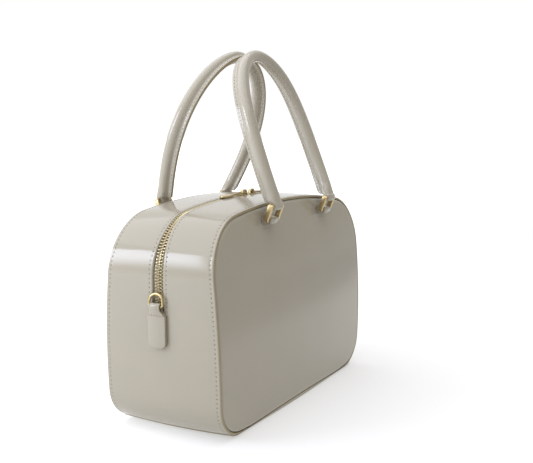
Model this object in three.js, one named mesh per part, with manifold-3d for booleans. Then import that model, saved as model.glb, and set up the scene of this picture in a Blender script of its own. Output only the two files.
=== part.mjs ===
// Bowler bag of polished leather: two moulded panels, a gusset with a zip, a lapped base,
// two rolled handles on rectangular rings, and a tab with a D-ring over each end of the zip.
// Millimetres, +Z up, the front panel faces -Y, and the bag stands on Z = 0.
import * as THREE from "three";
import { mergeVertices } from "three/addons/utils/BufferGeometryUtils.js";
import Module from "manifold-3d";

const wasm = await Module();
wasm.setup();

// Driving dimensions of the body
const GAP = 0.3;
const LEATHER = 2;
const OUTLINE = [
  { arc: "top", radius: 638, turn: 8.25, steps: 4 },
  { arc: "shoulder", radius: 45.7, turn: 81.85, steps: 9 },
  { arc: "side", radius: 1719, turn: 3, steps: 4 },
  { arc: "heel", radius: 28.5, turn: 86.9, steps: 8 },
];
const DEPTH = { bottom: 98.5, top: 81.4, swell: 8.55 };
const GUSSET = { crown: 1.4, lap: 10, edgeRound: 1.2, edgeDrop: 0.7, column: 0.55 };
const BASE = { thickness: 2, upHeel: 22, steps: 4, edgeRound: 2, edgeLift: 0.7 };
const PANEL = { flange: 9, flangeWall: 1.6, corner: 3, proud: 0.5, dome: 4, stepDown: 2 };

// Rings of sections on a panel's face, as shares of the way out from its middle
const PANEL_ROUNDS = [0.12, 0.4, 0.74];

// Bend of a panel's edge into its flange, in shares of the corner
const PANEL_BEND = [
  { inset: 0.25, back: 0.2 },
  { inset: 0, back: 0.8 },
];

// Driving dimensions of the zip
const ZIP = { slit: 9, endHeight: 86, chainWidth: 6.2, chainTop: 1.2, chainBottom: 4.2 };
const TAPE = { outer: 12, thickness: 0.7 };
const SLIDER = { meet: -1, length: 11, noseWidth: 8.2, tailWidth: 7, plate: 1.3, lift: 0.4 };
const SLIDER_OUTLINE = { shoulder: 0.2, tailCorner: 0.75, tailEnd: 0.7 };
const DIVIDER = { width: 2.4, length: 3.9, fromNose: 0.65 };
const BRIDGE = { length: 7.4, height: 3.6, wall: 1.2, width: 2.2, forward: -0.5, sunk: 0.05 };
const BRIDGE_OUTLINE = { shoulder: 0.6, crown: 0.64 };
const PULL = { length: 36.5, thickness: 1.3, droop: 2.4, bar: 1.75, eye: 5, eyeWidth: 3.4, head: 5.12 };
const PULL_OUTLINE = { stem: 3.6, headTaper: 2, paddle: 15, paddleTaper: 3, paddleWidth: 7.6 };

// Driving dimensions of the ends, the rings and the handles
const D_RING = { height: 100, width: 13.7, rise: 10, spring: 3.5, wire: 2, corner: 1.6, lean: 8 };
const D_RING_STEPS = { along: 28, around: 8 };
const TAB = { wall: 1.3, neck: 9, neckEnd: 3, width: 15.3, shoulder: 7.4, length: 31, corner: 4.5 };
const RING = { out: 49.6, y: -48.8, z: 157.4, width: 20, height: 14.5, bar: 2.7, depth: 4.2, tilt: 22 };
const RING_EDGE = { bevel: 0.4, corner: 1.2, innerCorner: 0.9 };
const LOOP = { width: 11, wall: 1.4, corner: 2.4, slitHeight: 156.4, slitY: -44.8, inside: 4 };
const HANDLE = {
  apex: { y: -9, z: 286.9, spread: 16.7 },
  rise: { x: 75.1, z: 271.3 },
  sway: 3.8,
  radius: 5,
  flange: 3.5,
  flangeWall: 2.8,
  foot: { width: 12.4, depth: 8.4, reach: 3.5 },
  firstShare: 0.157,
  steps: 12,
  sides: 14,
};

const leather = new THREE.MeshStandardMaterial({ color: 0xcbc5b6, roughness: 0.22, metalness: 0 });
const webbing = new THREE.MeshStandardMaterial({ color: 0xb3ac98, roughness: 0.8, metalness: 0 });
const gold = new THREE.MeshStandardMaterial({ color: 0xd3b472, roughness: 0.2, metalness: 1 });

const rad = THREE.MathUtils.degToRad;
const smooth = THREE.MathUtils.smoothstep;

// Outline of the gusset, one chain of tangent arcs from the middle of the top down to the heel.
// Each arc keeps where it starts: its distance along the chain, its turn so far and its point.
const chain = [];
{
  let along = 0;
  let angle = 0;
  let x = 0;
  let z = 0;
  for (const { radius, turn, steps } of OUTLINE) {
    const sweep = rad(turn);
    chain.push({ along, angle, x, z, radius, steps, length: radius * sweep });
    x += radius * (Math.sin(angle + sweep) - Math.sin(angle));
    z += radius * (Math.cos(angle + sweep) - Math.cos(angle));
    along += radius * sweep;
    angle += sweep;
  }
  chain.push({ along, angle, x, z, length: x });
}
const flat = chain.at(-1);
const side = chain[2];
const heel = chain[3];
const outlineFoot = BASE.thickness + GAP;
const bodyHeight = outlineFoot - flat.z;
const outlineEnd = flat.along + flat.length;

// Point of the outline at a distance from the middle of the top, moved out by an offset
function outlineAt(distance, offset = 0) {
  const s = Math.abs(distance);
  const hand = Math.sign(distance);
  const arc = chain.findLast((a) => a.along <= s) ?? chain[0];
  const into = s - arc.along;
  const angle = arc.radius ? arc.angle + into / arc.radius : Math.PI;
  const x = arc.radius ? arc.x + arc.radius * (Math.sin(angle) - Math.sin(arc.angle)) : arc.x - into;
  const z = arc.radius ? arc.z + arc.radius * (Math.cos(angle) - Math.cos(arc.angle)) : arc.z;
  return {
    x: hand * (x + offset * Math.sin(angle)),
    z: bodyHeight + z + offset * Math.cos(angle),
    angle: hand * angle,
  };
}

// Distances along one half of the outline at which the leather is sectioned
const halfStations = chain.flatMap(({ along, length, steps }) =>
  steps ? Array.from({ length: steps }, (_, k) => along + (length * k) / steps) : [along],
);

// Stations from one distance to another, with the outline's own stations between them
function stationsBetween(from, to) {
  const clear = 1;
  const left = halfStations.slice(1).map((s) => -s).reverse();
  const between = [...left, ...halfStations].filter((s) => s > from + clear && s < to - clear);
  return [from, ...between, to];
}

// Distance along the outline at which the side stands at a height
function distanceAtHeight(height) {
  const halvings = 40;
  let low = side.along;
  let high = heel.along;
  for (let k = 0; k < halvings; k++) {
    const middle = (low + high) / 2;
    if (outlineAt(middle).z > height) low = middle;
    else high = middle;
  }
  return low;
}

// Half the bag's depth at the seam, fullest below the middle and drawn in at the top
function halfDepth(z) {
  const t = THREE.MathUtils.clamp(z / bodyHeight, 0, 1);
  return (DEPTH.bottom * (1 - t) + DEPTH.top * t + 4 * DEPTH.swell * t * (1 - t)) / 2;
}

// Crown of the gusset across its width, which fades out where the base laps it
function crownAt(distance, across) {
  const fade = 1 - smooth(Math.abs(distance), side.along + side.length / 2, heel.along + heel.length / 2);
  return GUSSET.crown * fade * (1 - across * across);
}

// Geometry from points and triangles, turned to face outwards
function closedGeometry(points, index) {
  let volume = 0;
  for (let k = 0; k < index.length; k += 3) {
    const [a, b, c] = [points[index[k]], points[index[k + 1]], points[index[k + 2]]];
    volume += a.dot(b.clone().cross(c));
  }
  if (volume < 0) index.reverse();
  const geometry = new THREE.BufferGeometry().setFromPoints(points);
  geometry.setIndex(index);
  geometry.computeVertexNormals();
  return geometry;
}

// Closed surface through loops of equal length. The end triangles close its first and last loop,
// and a ring that runs into itself has none.
function skin(loops, endTriangles) {
  const count = loops[0].length;
  const rows = endTriangles ? loops.length - 1 : loops.length;
  const index = [];
  for (let row = 0; row < rows; row++) {
    const next = ((row + 1) % loops.length) * count;
    for (let k = 0; k < count; k++) {
      const a = row * count + k;
      const b = row * count + ((k + 1) % count);
      const c = next + k;
      const d = next + ((k + 1) % count);
      index.push(a, b, d, a, d, c);
    }
  }
  const last = (loops.length - 1) * count;
  for (const [a, b, c] of endTriangles ?? []) {
    index.push(a, c, b, last + a, last + b, last + c);
  }
  return closedGeometry(loops.flat(), index);
}

// End triangles of a convex loop
const fanEnd = (count) => Array.from({ length: count - 2 }, (_, k) => [0, k + 1, k + 2]);

// End triangles of a strip whose loop runs along its face and back along its underside
function stripEnd(count) {
  const triangles = [];
  for (let k = 0; k < count / 2 - 1; k++) {
    const [below, nextBelow] = [count - 1 - k, count - 2 - k];
    triangles.push([k, k + 1, nextBelow], [k, nextBelow, below]);
  }
  return triangles;
}

// Strip of leather or tape laid along the outline: columns give its face and underside across Y
function strip(from, to, columns) {
  const loops = stationsBetween(from, to).map((distance) => {
    const place = (y, offset) => {
      const p = outlineAt(distance, offset);
      return new THREE.Vector3(p.x, y, p.z);
    };
    const section = columns(distance);
    const face = section.map(({ y, top }) => place(y, top));
    const underside = section.map(({ y, bottom }) => place(y, bottom)).reverse();
    return [...face, ...underside];
  });
  return skin(loops, stripEnd(loops[0].length));
}

// Conversion to and from solids, for joins and cuts
const weld = 1e-4;

function solidOf(geometry) {
  const bare = new THREE.BufferGeometry();
  bare.setAttribute("position", geometry.getAttribute("position"));
  bare.setIndex(geometry.index);
  const merged = mergeVertices(bare, weld);
  const vertProperties = new Float32Array(merged.getAttribute("position").array);
  const triVerts = new Uint32Array(merged.index.array);
  return new wasm.Manifold(new wasm.Mesh({ numProp: 3, vertProperties, triVerts }));
}

function geometryOf(solid) {
  const { vertProperties, triVerts } = solid.getMesh();
  const geometry = new THREE.BufferGeometry();
  geometry.setAttribute("position", new THREE.BufferAttribute(vertProperties, 3));
  geometry.setIndex(new THREE.BufferAttribute(triVerts, 1));
  geometry.computeVertexNormals();
  return geometry;
}

function joined(first, ...others) {
  return geometryOf(others.reduce((all, other) => all.add(solidOf(other)), solidOf(first)));
}

function cut(body, ...tools) {
  return geometryOf(tools.reduce((rest, tool) => rest.subtract(solidOf(tool)), solidOf(body)));
}

function mesh(name, geometry, material) {
  const made = new THREE.Mesh(geometry, material);
  made.name = name;
  return made;
}

// Block with its middle at a point
function block(x, y, z, [cx, cy, cz] = [0, 0, 0]) {
  return new THREE.BoxGeometry(x, y, z).translate(cx, cy, cz);
}

// Rounded rectangle as a shape or a hole
function roundedRectangle(width, height, radius, path = new THREE.Shape()) {
  const [w, h] = [width / 2, height / 2];
  path.moveTo(-w + radius, -h);
  path.lineTo(w - radius, -h);
  path.absarc(w - radius, -h + radius, radius, -Math.PI / 2, 0);
  path.lineTo(w, h - radius);
  path.absarc(w - radius, h - radius, radius, 0, Math.PI / 2);
  path.lineTo(-w + radius, h);
  path.absarc(-w + radius, h - radius, radius, Math.PI / 2, Math.PI);
  path.lineTo(-w, -h + radius);
  path.absarc(-w + radius, -h + radius, radius, Math.PI, 1.5 * Math.PI);
  return path;
}

function extruded(shape, depth, curveSegments) {
  return new THREE.ExtrudeGeometry(shape, { depth, bevelEnabled: false, curveSegments });
}

// Gusset: one band over both ends and the top, its edges rounded over, with a slit for the zip
function makeGusset() {
  const end = flat.along + GUSSET.lap;
  const band = strip(-end, end, (distance) => {
    const half = halfDepth(outlineAt(distance).z);
    const shares = [1 - GUSSET.edgeRound / half, GUSSET.column, 0];
    const right = shares.map((share) => {
      const top = crownAt(distance, share);
      return { y: share * half, top, bottom: top - LEATHER };
    });
    right.unshift({ y: half, top: -GUSSET.edgeDrop, bottom: -LEATHER });
    const left = right.slice(0, -1).map((column) => ({ ...column, y: -column.y }));
    return [...left, ...right.reverse()];
  });
  const slitEnd = distanceAtHeight(ZIP.endHeight);
  const through = 3 * LEATHER;
  const slit = strip(-slitEnd, slitEnd, () => [
    { y: -ZIP.slit / 2, top: through, bottom: -through },
    { y: ZIP.slit / 2, top: through, bottom: -through },
  ]);
  return mesh("gusset", cut(band, slit), leather);
}

// Base: a strip lapped over the gusset's two lower ends, flat where the bag stands on it
function makeBase() {
  const up = flat.along - heel.radius * rad(BASE.upHeel);
  const loops = [];
  const climb = Array.from({ length: BASE.steps }, (_, k) => up + ((flat.along - up) * k) / BASE.steps);
  const right = [...climb, flat.along, flat.along + flat.length / 2];
  const distances = [...right, outlineEnd, ...right.map((s) => -s).reverse()];
  for (const distance of distances) {
    const half = halfDepth(outlineAt(distance).z) - GAP;
    const columns = [
      { y: -half, out: BASE.edgeLift },
      { y: -half + BASE.edgeRound, out: 0 },
      { y: half - BASE.edgeRound, out: 0 },
      { y: half, out: BASE.edgeLift },
    ];
    const place = (y, offset) => {
      const p = outlineAt(distance, offset);
      return new THREE.Vector3(p.x, y, p.z);
    };
    const under = columns.map(({ y, out }) => place(y, GAP + BASE.thickness - out));
    const inner = columns.map(({ y }) => place(y, GAP)).reverse();
    loops.push([...under, ...inner]);
  }
  return mesh("base", skin(loops, stripEnd(loops[0].length)), leather);
}

// Panel, made as the front one: a shallow moulded tray whose turned edge lies under the gusset,
// or on the base along the bottom, with a slit for each handle ring's loop
function makePanel(name, slits) {
  const onBaseFrom = flat.along + GUSSET.lap + PANEL.stepDown;
  const stepStations = [onBaseFrom - PANEL.stepDown / 2, onBaseFrom + PANEL.stepDown / 2];
  const right = [...halfStations, ...stepStations, flat.along + flat.length / 2];
  const distances = [...right, outlineEnd, ...right.slice(1).map((s) => -s).reverse()];
  const middle = { x: 0, z: bodyHeight / 2 };
  const underGusset = LEATHER + GAP;
  const rim = (inset, back) =>
    distances.map((distance) => {
      const onBase = Math.abs(distance) > onBaseFrom;
      const p = outlineAt(distance, -inset - (onBase ? GAP : underGusset));
      return new THREE.Vector3(p.x, back - halfDepth(p.z), p.z);
    });
  const face = (edge, share, back) =>
    edge.map((p) => {
      const x = middle.x + share * (p.x - middle.x);
      const z = middle.z + share * (p.z - middle.z);
      return new THREE.Vector3(x, back - halfDepth(z) - PANEL.dome * (1 - share * share), z);
    });
  const edge = rim(PANEL.corner, -PANEL.proud);
  const inset = PANEL.flangeWall;
  const innerRim = rim(inset + PANEL.corner, LEATHER);
  const innerEdge = face(edge, 1, LEATHER - PANEL.proud).map((p, k) => p.lerp(innerRim[k], 0.5));
  const loops = [
    ...PANEL_ROUNDS.map((share) => face(edge, share, -PANEL.proud)),
    edge,
    ...PANEL_BEND.map((bend) => rim(bend.inset * PANEL.corner, bend.back * PANEL.corner)),
    rim(0, PANEL.flange),
    rim(inset, PANEL.flange),
    rim(inset, PANEL.corner),
    innerEdge,
    ...PANEL_ROUNDS.toReversed().map((share) => face(edge, share, LEATHER - PANEL.proud)),
  ];
  return mesh(name, cut(skin(loops, fanEnd(distances.length)), ...slits), leather);
}

// Zip tapes, sewn under the two edges of the slit
function makeTape(name, hand) {
  const end = distanceAtHeight(ZIP.endHeight - GUSSET.lap);
  const inner = ZIP.chainWidth / 2 + GAP;
  const geometry = strip(-end, end, (distance) => {
    const under = crownAt(distance, TAPE.outer / halfDepth(outlineAt(distance).z)) - LEATHER;
    const row = { top: under - GAP, bottom: under - GAP - TAPE.thickness };
    const columns = [inner, TAPE.outer].map((y) => ({ y: hand * y, ...row }));
    return hand > 0 ? columns : columns.reverse();
  });
  return mesh(name, geometry, webbing);
}

// Closed teeth on one side of the two sliders, from the zip's end to a slider's divider
function makeChain(name, hand) {
  const end = distanceAtHeight(ZIP.endHeight) - GAP;
  const divider = SLIDER.meet + hand * (GAP + DIVIDER.fromNose + DIVIDER.length + GAP);
  const [from, to] = hand < 0 ? [-end, divider] : [divider, end];
  const half = ZIP.chainWidth / 2;
  const geometry = strip(from, to, (distance) => {
    const crown = crownAt(distance, 0);
    const row = { top: crown - ZIP.chainTop, bottom: crown - ZIP.chainBottom };
    return [
      { y: -half, ...row },
      { y: half, ...row },
    ];
  });
  return mesh(name, geometry, gold);
}

// Group that stands on the outline: its X runs along the outline and its Z points out
function standing(distance) {
  const p = outlineAt(distance, crownAt(distance, 0));
  const group = new THREE.Group();
  group.position.set(p.x, 0, p.z);
  group.rotation.y = p.angle;
  return group;
}

// Slider: two plates joined by a divider at the nose, with a bridge on top for the pull
function makeSlider(name) {
  const [nose, tail, half] = [SLIDER.noseWidth / 2, SLIDER.tailWidth / 2, SLIDER.length / 2];
  const shoulder = SLIDER_OUTLINE.shoulder * half;
  const tailCorner = SLIDER_OUTLINE.tailCorner * half;
  const tailEnd = SLIDER_OUTLINE.tailEnd * tail;
  const outline = new THREE.Shape();
  outline.moveTo(-half, -tailEnd);
  outline.lineTo(-tailCorner, -tail);
  outline.lineTo(shoulder, -nose);
  outline.absellipse(shoulder, 0, half - shoulder, nose, -Math.PI / 2, Math.PI / 2);
  outline.lineTo(-tailCorner, tail);
  outline.lineTo(-half, tailEnd);
  const plate = extruded(outline, SLIDER.plate, 5);
  const top = plate.clone().translate(0, 0, SLIDER.lift - SLIDER.plate);
  const bottom = plate.clone().translate(0, 0, -ZIP.chainBottom - GAP - SLIDER.plate);
  const span = ZIP.chainBottom + GAP + SLIDER.plate;
  const dividerX = half - DIVIDER.fromNose - DIVIDER.length / 2;
  const divider = block(DIVIDER.length, DIVIDER.width, span, [dividerX, 0, -span / 2]);
  return mesh(name, joined(top, bottom, divider, makeBridge()), gold);
}

// Bridge: a small arch across the slider's plate, open at both sides
function makeBridge() {
  const { height, wall, width, forward, sunk } = BRIDGE;
  const half = BRIDGE.length / 2;
  const shoulder = BRIDGE_OUTLINE.shoulder * height;
  const crown = BRIDGE_OUTLINE.crown * half;
  const arch = new THREE.Shape();
  arch.moveTo(-half, 0);
  arch.lineTo(half, 0);
  arch.lineTo(half, shoulder);
  arch.lineTo(crown, height);
  arch.lineTo(-crown, height);
  arch.lineTo(-half, shoulder);
  const opening = new THREE.Path();
  const [post, floor, ceiling] = [half - wall, 2 * sunk, height - wall];
  opening.moveTo(-post, floor);
  opening.lineTo(-post, ceiling);
  opening.lineTo(post, ceiling);
  opening.lineTo(post, floor);
  arch.holes.push(opening);
  const upright = extruded(arch, width, 1).rotateX(Math.PI / 2);
  return upright.translate(forward, width / 2, SLIDER.lift - sunk);
}

// Pull: a flat stem with an eye at its head and a rounded paddle at its far end. The head's end bar
// lies under the slider's bridge.
function makePull(name) {
  const { length, thickness, bar, eye, eyeWidth } = PULL;
  const [head, stem, paddle] = [PULL.head / 2, PULL_OUTLINE.stem / 2, PULL_OUTLINE.paddleWidth / 2];
  const reach = length - bar / 2;
  const headEnd = 1.5 * bar + eye;
  const paddleStart = reach - PULL_OUTLINE.paddle;
  const half = [
    [bar / 2, head],
    [-headEnd, head],
    [-headEnd - PULL_OUTLINE.headTaper, stem],
    [-paddleStart, stem],
    [-paddleStart - PULL_OUTLINE.paddleTaper, paddle],
  ];
  const outline = new THREE.Shape();
  outline.moveTo(bar / 2, -head);
  for (const [x, y] of half) outline.lineTo(x, y);
  outline.absarc(-reach + paddle, 0, paddle, Math.PI / 2, 1.5 * Math.PI);
  for (const [x, y] of half.slice(1).reverse()) outline.lineTo(x, -y);
  const slot = new THREE.Path();
  const [near, far, h] = [-bar / 2, -bar / 2 - eye, eyeWidth / 2];
  slot.moveTo(near, -h);
  slot.lineTo(near, h);
  slot.lineTo(far, h);
  slot.lineTo(far, -h);
  outline.holes.push(slot);
  return mesh(name, extruded(outline, thickness, 10).translate(0, 0, -thickness / 2), gold);
}

// Middle of the pull's end bar above the slider's plate, the axis on which the pull turns
const pullLift = SLIDER.lift + (BRIDGE.height - BRIDGE.wall) / 2;

// One side's slider and pull, the nose towards the meeting point
function makeSliderPair(name, hand) {
  const group = standing(SLIDER.meet + hand * (GAP + SLIDER.length / 2));
  group.scale.x = -hand;
  const pull = makePull(`zip_pull_${name}`);
  pull.position.set(BRIDGE.forward, 0, pullLift);
  pull.rotation.y = -rad(PULL.droop);
  group.add(makeSlider(`zip_slider_${name}`), pull);
  return group;
}

// D-ring of round wire: a straight bar, rounded corners and an arch, as one closed loop
function makeDRing(name) {
  const half = (D_RING.width - D_RING.wire) / 2;
  const { corner, spring } = D_RING;
  const radius = D_RING.wire / 2;
  const line = new THREE.Path();
  line.moveTo(-half + corner, 0);
  line.lineTo(half - corner, 0);
  line.absarc(half - corner, corner, corner, -Math.PI / 2, 0);
  line.absellipse(0, spring, half, D_RING.rise - spring - radius, 0, Math.PI);
  line.absarc(-half + corner, corner, corner, Math.PI, 1.5 * Math.PI);
  const route = line.getSpacedPoints(D_RING_STEPS.along);
  route.pop();
  const loops = route.map((p, k) => {
    const ahead = route[(k + 1) % route.length];
    const behind = route.at(k - 1);
    const along = ahead.clone().sub(behind).normalize();
    return Array.from({ length: D_RING_STEPS.around }, (_, m) => {
      const a = (2 * Math.PI * m) / D_RING_STEPS.around;
      const across = radius * Math.cos(a);
      return new THREE.Vector3(-p.y - across * along.x, p.x - across * along.y, radius * Math.sin(a));
    });
  });
  return mesh(name, skin(loops), gold);
}

// Tab: a leather strip folded round the D-ring's bar and sewn to the gusset over the zip's end
const barLift = GAP + TAB.wall + GAP + D_RING.wire / 2;

function makeTab(name) {
  const bore = D_RING.wire / 2 + GAP;
  const roll = bore + TAB.wall;
  const tube = new THREE.Shape().absarc(0, 0, roll, 0, 2 * Math.PI);
  tube.holes.push(new THREE.Path().absarc(0, 0, bore, 0, 2 * Math.PI));
  const loop = extruded(tube, TAB.neck, 8).rotateX(Math.PI / 2).translate(0, TAB.neck / 2, barLift);
  const [neck, half, r] = [TAB.neck / 2, TAB.width / 2, TAB.corner];
  const start = (bore + roll) / 2;
  const outline = new THREE.Shape();
  outline.moveTo(start, -neck);
  outline.lineTo(TAB.neckEnd, -neck);
  outline.lineTo(TAB.shoulder, -half);
  outline.lineTo(TAB.length - r, -half);
  outline.absarc(TAB.length - r, -half + r, r, -Math.PI / 2, 0);
  outline.absarc(TAB.length - r, half - r, r, 0, Math.PI / 2);
  outline.lineTo(TAB.shoulder, half);
  outline.lineTo(TAB.neckEnd, neck);
  outline.lineTo(start, neck);
  const body = extruded(outline, 2 * TAB.wall, 4).translate(0, 0, GAP);
  return mesh(name, joined(loop, body), leather);
}

// One end's tab and D-ring, the ring leaning on the gusset
function makeEnd(name) {
  const group = standing(distanceAtHeight(D_RING.height));
  const ring = makeDRing(`d_ring_${name}`);
  ring.position.z = barLift;
  ring.rotation.y = -rad(D_RING.lean);
  group.add(makeTab(`end_tab_${name}`), ring);
  return group;
}

// Handle ring: a rectangle of flat bar, its lower bar at the group's middle
function makeRing(name) {
  const { width, height, bar, depth } = RING;
  const { bevel, corner, innerCorner } = RING_EDGE;
  const shape = roundedRectangle(width - 2 * bevel, height - 2 * bevel, corner);
  const inside = [width - 2 * bar + 2 * bevel, height - 2 * bar + 2 * bevel];
  shape.holes.push(roundedRectangle(...inside, innerCorner, new THREE.Path()));
  const geometry = new THREE.ExtrudeGeometry(shape, {
    depth: depth - 2 * bevel,
    curveSegments: 2,
    bevelSize: bevel,
    bevelThickness: bevel,
    bevelSegments: 1,
  }).translate(0, 0, bevel - depth / 2);
  return mesh(name, geometry.rotateX(Math.PI / 2).translate(0, 0, (height - bar) / 2), gold);
}

// Hole for a ring's bar, with clearance, through a leather piece
const barHole = (width) => block(width, RING.depth + 2 * GAP, RING.bar + 2 * GAP).rotateX(rad(RING.tilt));

// Way of a loop's tail from the ring's lower bar in through the panel
const tailAngle = Math.atan2(LOOP.slitHeight - RING.z, LOOP.slitY - RING.y);
const tailReach = Math.hypot(LOOP.slitHeight - RING.z, LOOP.slitY - RING.y) + LOOP.inside;

function loopTail(width, thickness, from, to) {
  return block(width, to - from, thickness, [0, (from + to) / 2, 0]).rotateX(tailAngle);
}

// Loop: a leather strip folded round the ring's lower bar, both plies going into the panel's slit
function makeLoop(name) {
  const around = 2 * (GAP + LOOP.wall);
  const section = roundedRectangle(RING.depth + around, RING.bar + around, LOOP.corner);
  const roll = extruded(section, LOOP.width, 3).translate(0, 0, -LOOP.width / 2);
  const turned = roll.rotateY(Math.PI / 2).rotateX(Math.PI / 2).rotateX(rad(RING.tilt));
  const tail = loopTail(LOOP.width, 2 * LOOP.wall, RING.depth / 2, tailReach);
  return mesh(name, cut(joined(turned, tail), barHole(2 * LOOP.width)), leather);
}

// Middle line of the front handle at a share of one leg, from the ring's upper bar to the apex
const ringRise = RING.height - RING.bar;
const footY = RING.y - ringRise * Math.sin(rad(RING.tilt));
const footZ = RING.z + ringRise * Math.cos(rad(RING.tilt));
const leg = new THREE.CubicBezierCurve(
  new THREE.Vector2(RING.out, footZ),
  new THREE.Vector2(HANDLE.rise.x, HANDLE.rise.z),
  new THREE.Vector2(HANDLE.apex.spread, HANDLE.apex.z),
  new THREE.Vector2(0, HANDLE.apex.z),
);

function handleLine(share, hand) {
  const p = leg.getPoint(share);
  const climb = (p.y - footZ) / (HANDLE.apex.z - footZ);
  const lean = footY + (HANDLE.apex.y - footY) * climb;
  return new THREE.Vector3(hand * p.x, lean + hand * HANDLE.sway * Math.sin(Math.PI * climb), p.y);
}

// Sections of the handle as X across the strap's own width and Y towards the bag's middle
const tubeSides = HANDLE.sides - 2;
const flangeTip = HANDLE.radius + HANDLE.flange;
const flangeAngle = Math.asin(HANDLE.flangeWall / 2 / HANDLE.radius);
const tubeSection = [
  new THREE.Vector2(-HANDLE.flangeWall / 2, flangeTip),
  new THREE.Vector2(HANDLE.flangeWall / 2, flangeTip),
  ...Array.from({ length: tubeSides }, (_, k) => {
    const a = flangeAngle + (k / (tubeSides - 1)) * 2 * (Math.PI - flangeAngle);
    return new THREE.Vector2(HANDLE.radius * Math.sin(a), HANDLE.radius * Math.cos(a));
  }),
];
const footSection = tubeSection.map((p) => {
  const a = Math.atan2(p.x, p.y);
  const squared = (v) => Math.sign(v) * Math.sqrt(Math.abs(v));
  const { width, depth } = HANDLE.foot;
  return new THREE.Vector2((width / 2) * squared(Math.sin(a)), (depth / 2) * squared(Math.cos(a)));
});

// Handle: a rolled leather tube with a sewn flange on its inner side, closed round the upper bars
// of its two rings
function makeHandle(name) {
  const { reach } = HANDLE.foot;
  const stride = (1 - HANDLE.firstShare) / (HANDLE.steps - 1);
  const shares = Array.from({ length: HANDLE.steps - 1 }, (_, k) => HANDLE.firstShare + stride * k);
  const foot = (hand) => new THREE.Vector3(hand * RING.out, footY, footZ);
  const up = new THREE.Vector3(0, 0, 1);
  const stations = [
    { at: foot(-1).addScaledVector(up, -reach), heading: up, section: footSection },
    { at: foot(-1).addScaledVector(up, reach), heading: up, section: footSection },
  ];
  const walk = [
    ...shares.map((share) => [share, -1]),
    [1, 1],
    ...shares.toReversed().map((share) => [share, 1]),
  ];
  for (const [share, hand] of walk) {
    const step = 0.01;
    const ahead = handleLine(Math.min(share + step, 1), hand);
    const behind = handleLine(share - step, hand);
    const heading = ahead.sub(behind).multiplyScalar(-hand);
    if (share === 1) heading.set(1, 0, 0);
    stations.push({ at: handleLine(share, hand), heading: heading.normalize(), section: tubeSection });
  }
  const down = up.clone().negate();
  stations.push({ at: foot(1).addScaledVector(up, reach), heading: down, section: footSection });
  stations.push({ at: foot(1).addScaledVector(up, -reach), heading: down, section: footSection });
  const loops = stations.map(({ at, heading, section }) => {
    const inward = new THREE.Vector3(0, 1, 0).addScaledVector(heading, -heading.y).normalize();
    const across = inward.clone().cross(heading);
    return section.map((p) => at.clone().addScaledVector(across, p.x).addScaledVector(inward, p.y));
  });
  const holes = [-1, 1].map((hand) =>
    barHole(2 * HANDLE.foot.width).translate(hand * RING.out, footY, footZ),
  );
  return mesh(name, cut(skin(loops, fanEnd(HANDLE.sides)), ...holes), leather);
}

// Front side of the bag: panel, rings, loops and handle. The back is its mirror image.
function makeSide(name) {
  const group = new THREE.Group();
  const slits = [];
  const slitSection = [LOOP.width + 2 * GAP, 2 * LOOP.wall + 2 * GAP];
  const hands = { left: -1, right: 1 };
  for (const [end, hand] of Object.entries(hands)) {
    const ring = makeRing(`handle_ring_${name}_${end}`);
    ring.position.set(hand * RING.out, RING.y, RING.z);
    ring.rotation.x = rad(RING.tilt);
    const loop = makeLoop(`ring_loop_${name}_${end}`);
    loop.position.copy(ring.position);
    group.add(ring, loop);
    const slit = loopTail(...slitSection, RING.depth / 2 + LOOP.wall, 2 * tailReach);
    slits.push(slit.translate(hand * RING.out, RING.y, RING.z));
  }
  group.add(makePanel(`${name}_panel`, slits), makeHandle(`handle_${name}`));
  return group;
}

const bag = new THREE.Group();
bag.name = "bowler_bag";

const back = makeSide("back");
back.scale.y = -1;
const leftEnd = new THREE.Group();
leftEnd.scale.x = -1;
leftEnd.add(makeEnd("left"));

bag.add(makeSide("front"), back);
bag.add(makeGusset(), makeBase());
bag.add(makeTape("zip_tape_front", -1), makeTape("zip_tape_back", 1));
bag.add(makeChain("zip_chain_left", -1), makeChain("zip_chain_right", 1));
bag.add(makeSliderPair("left", -1), makeSliderPair("right", 1));
bag.add(leftEnd, makeEnd("right"));

export default bag;
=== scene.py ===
import math
from collections import namedtuple

import bmesh
import bpy
from mathutils import Matrix, Quaternion, Vector, geometry


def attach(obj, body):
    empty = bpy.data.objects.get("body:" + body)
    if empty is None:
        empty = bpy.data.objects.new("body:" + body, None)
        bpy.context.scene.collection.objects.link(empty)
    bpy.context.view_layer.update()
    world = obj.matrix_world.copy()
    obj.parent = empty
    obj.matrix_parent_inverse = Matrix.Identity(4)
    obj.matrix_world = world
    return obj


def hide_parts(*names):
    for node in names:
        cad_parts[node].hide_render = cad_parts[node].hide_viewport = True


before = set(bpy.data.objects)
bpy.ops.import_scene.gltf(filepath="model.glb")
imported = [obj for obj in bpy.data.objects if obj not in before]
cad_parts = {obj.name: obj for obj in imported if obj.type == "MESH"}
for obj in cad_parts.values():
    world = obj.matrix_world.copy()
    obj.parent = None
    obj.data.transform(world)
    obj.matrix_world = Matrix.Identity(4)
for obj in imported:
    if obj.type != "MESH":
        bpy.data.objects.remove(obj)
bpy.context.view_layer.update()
scene = bpy.context.scene

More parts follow.
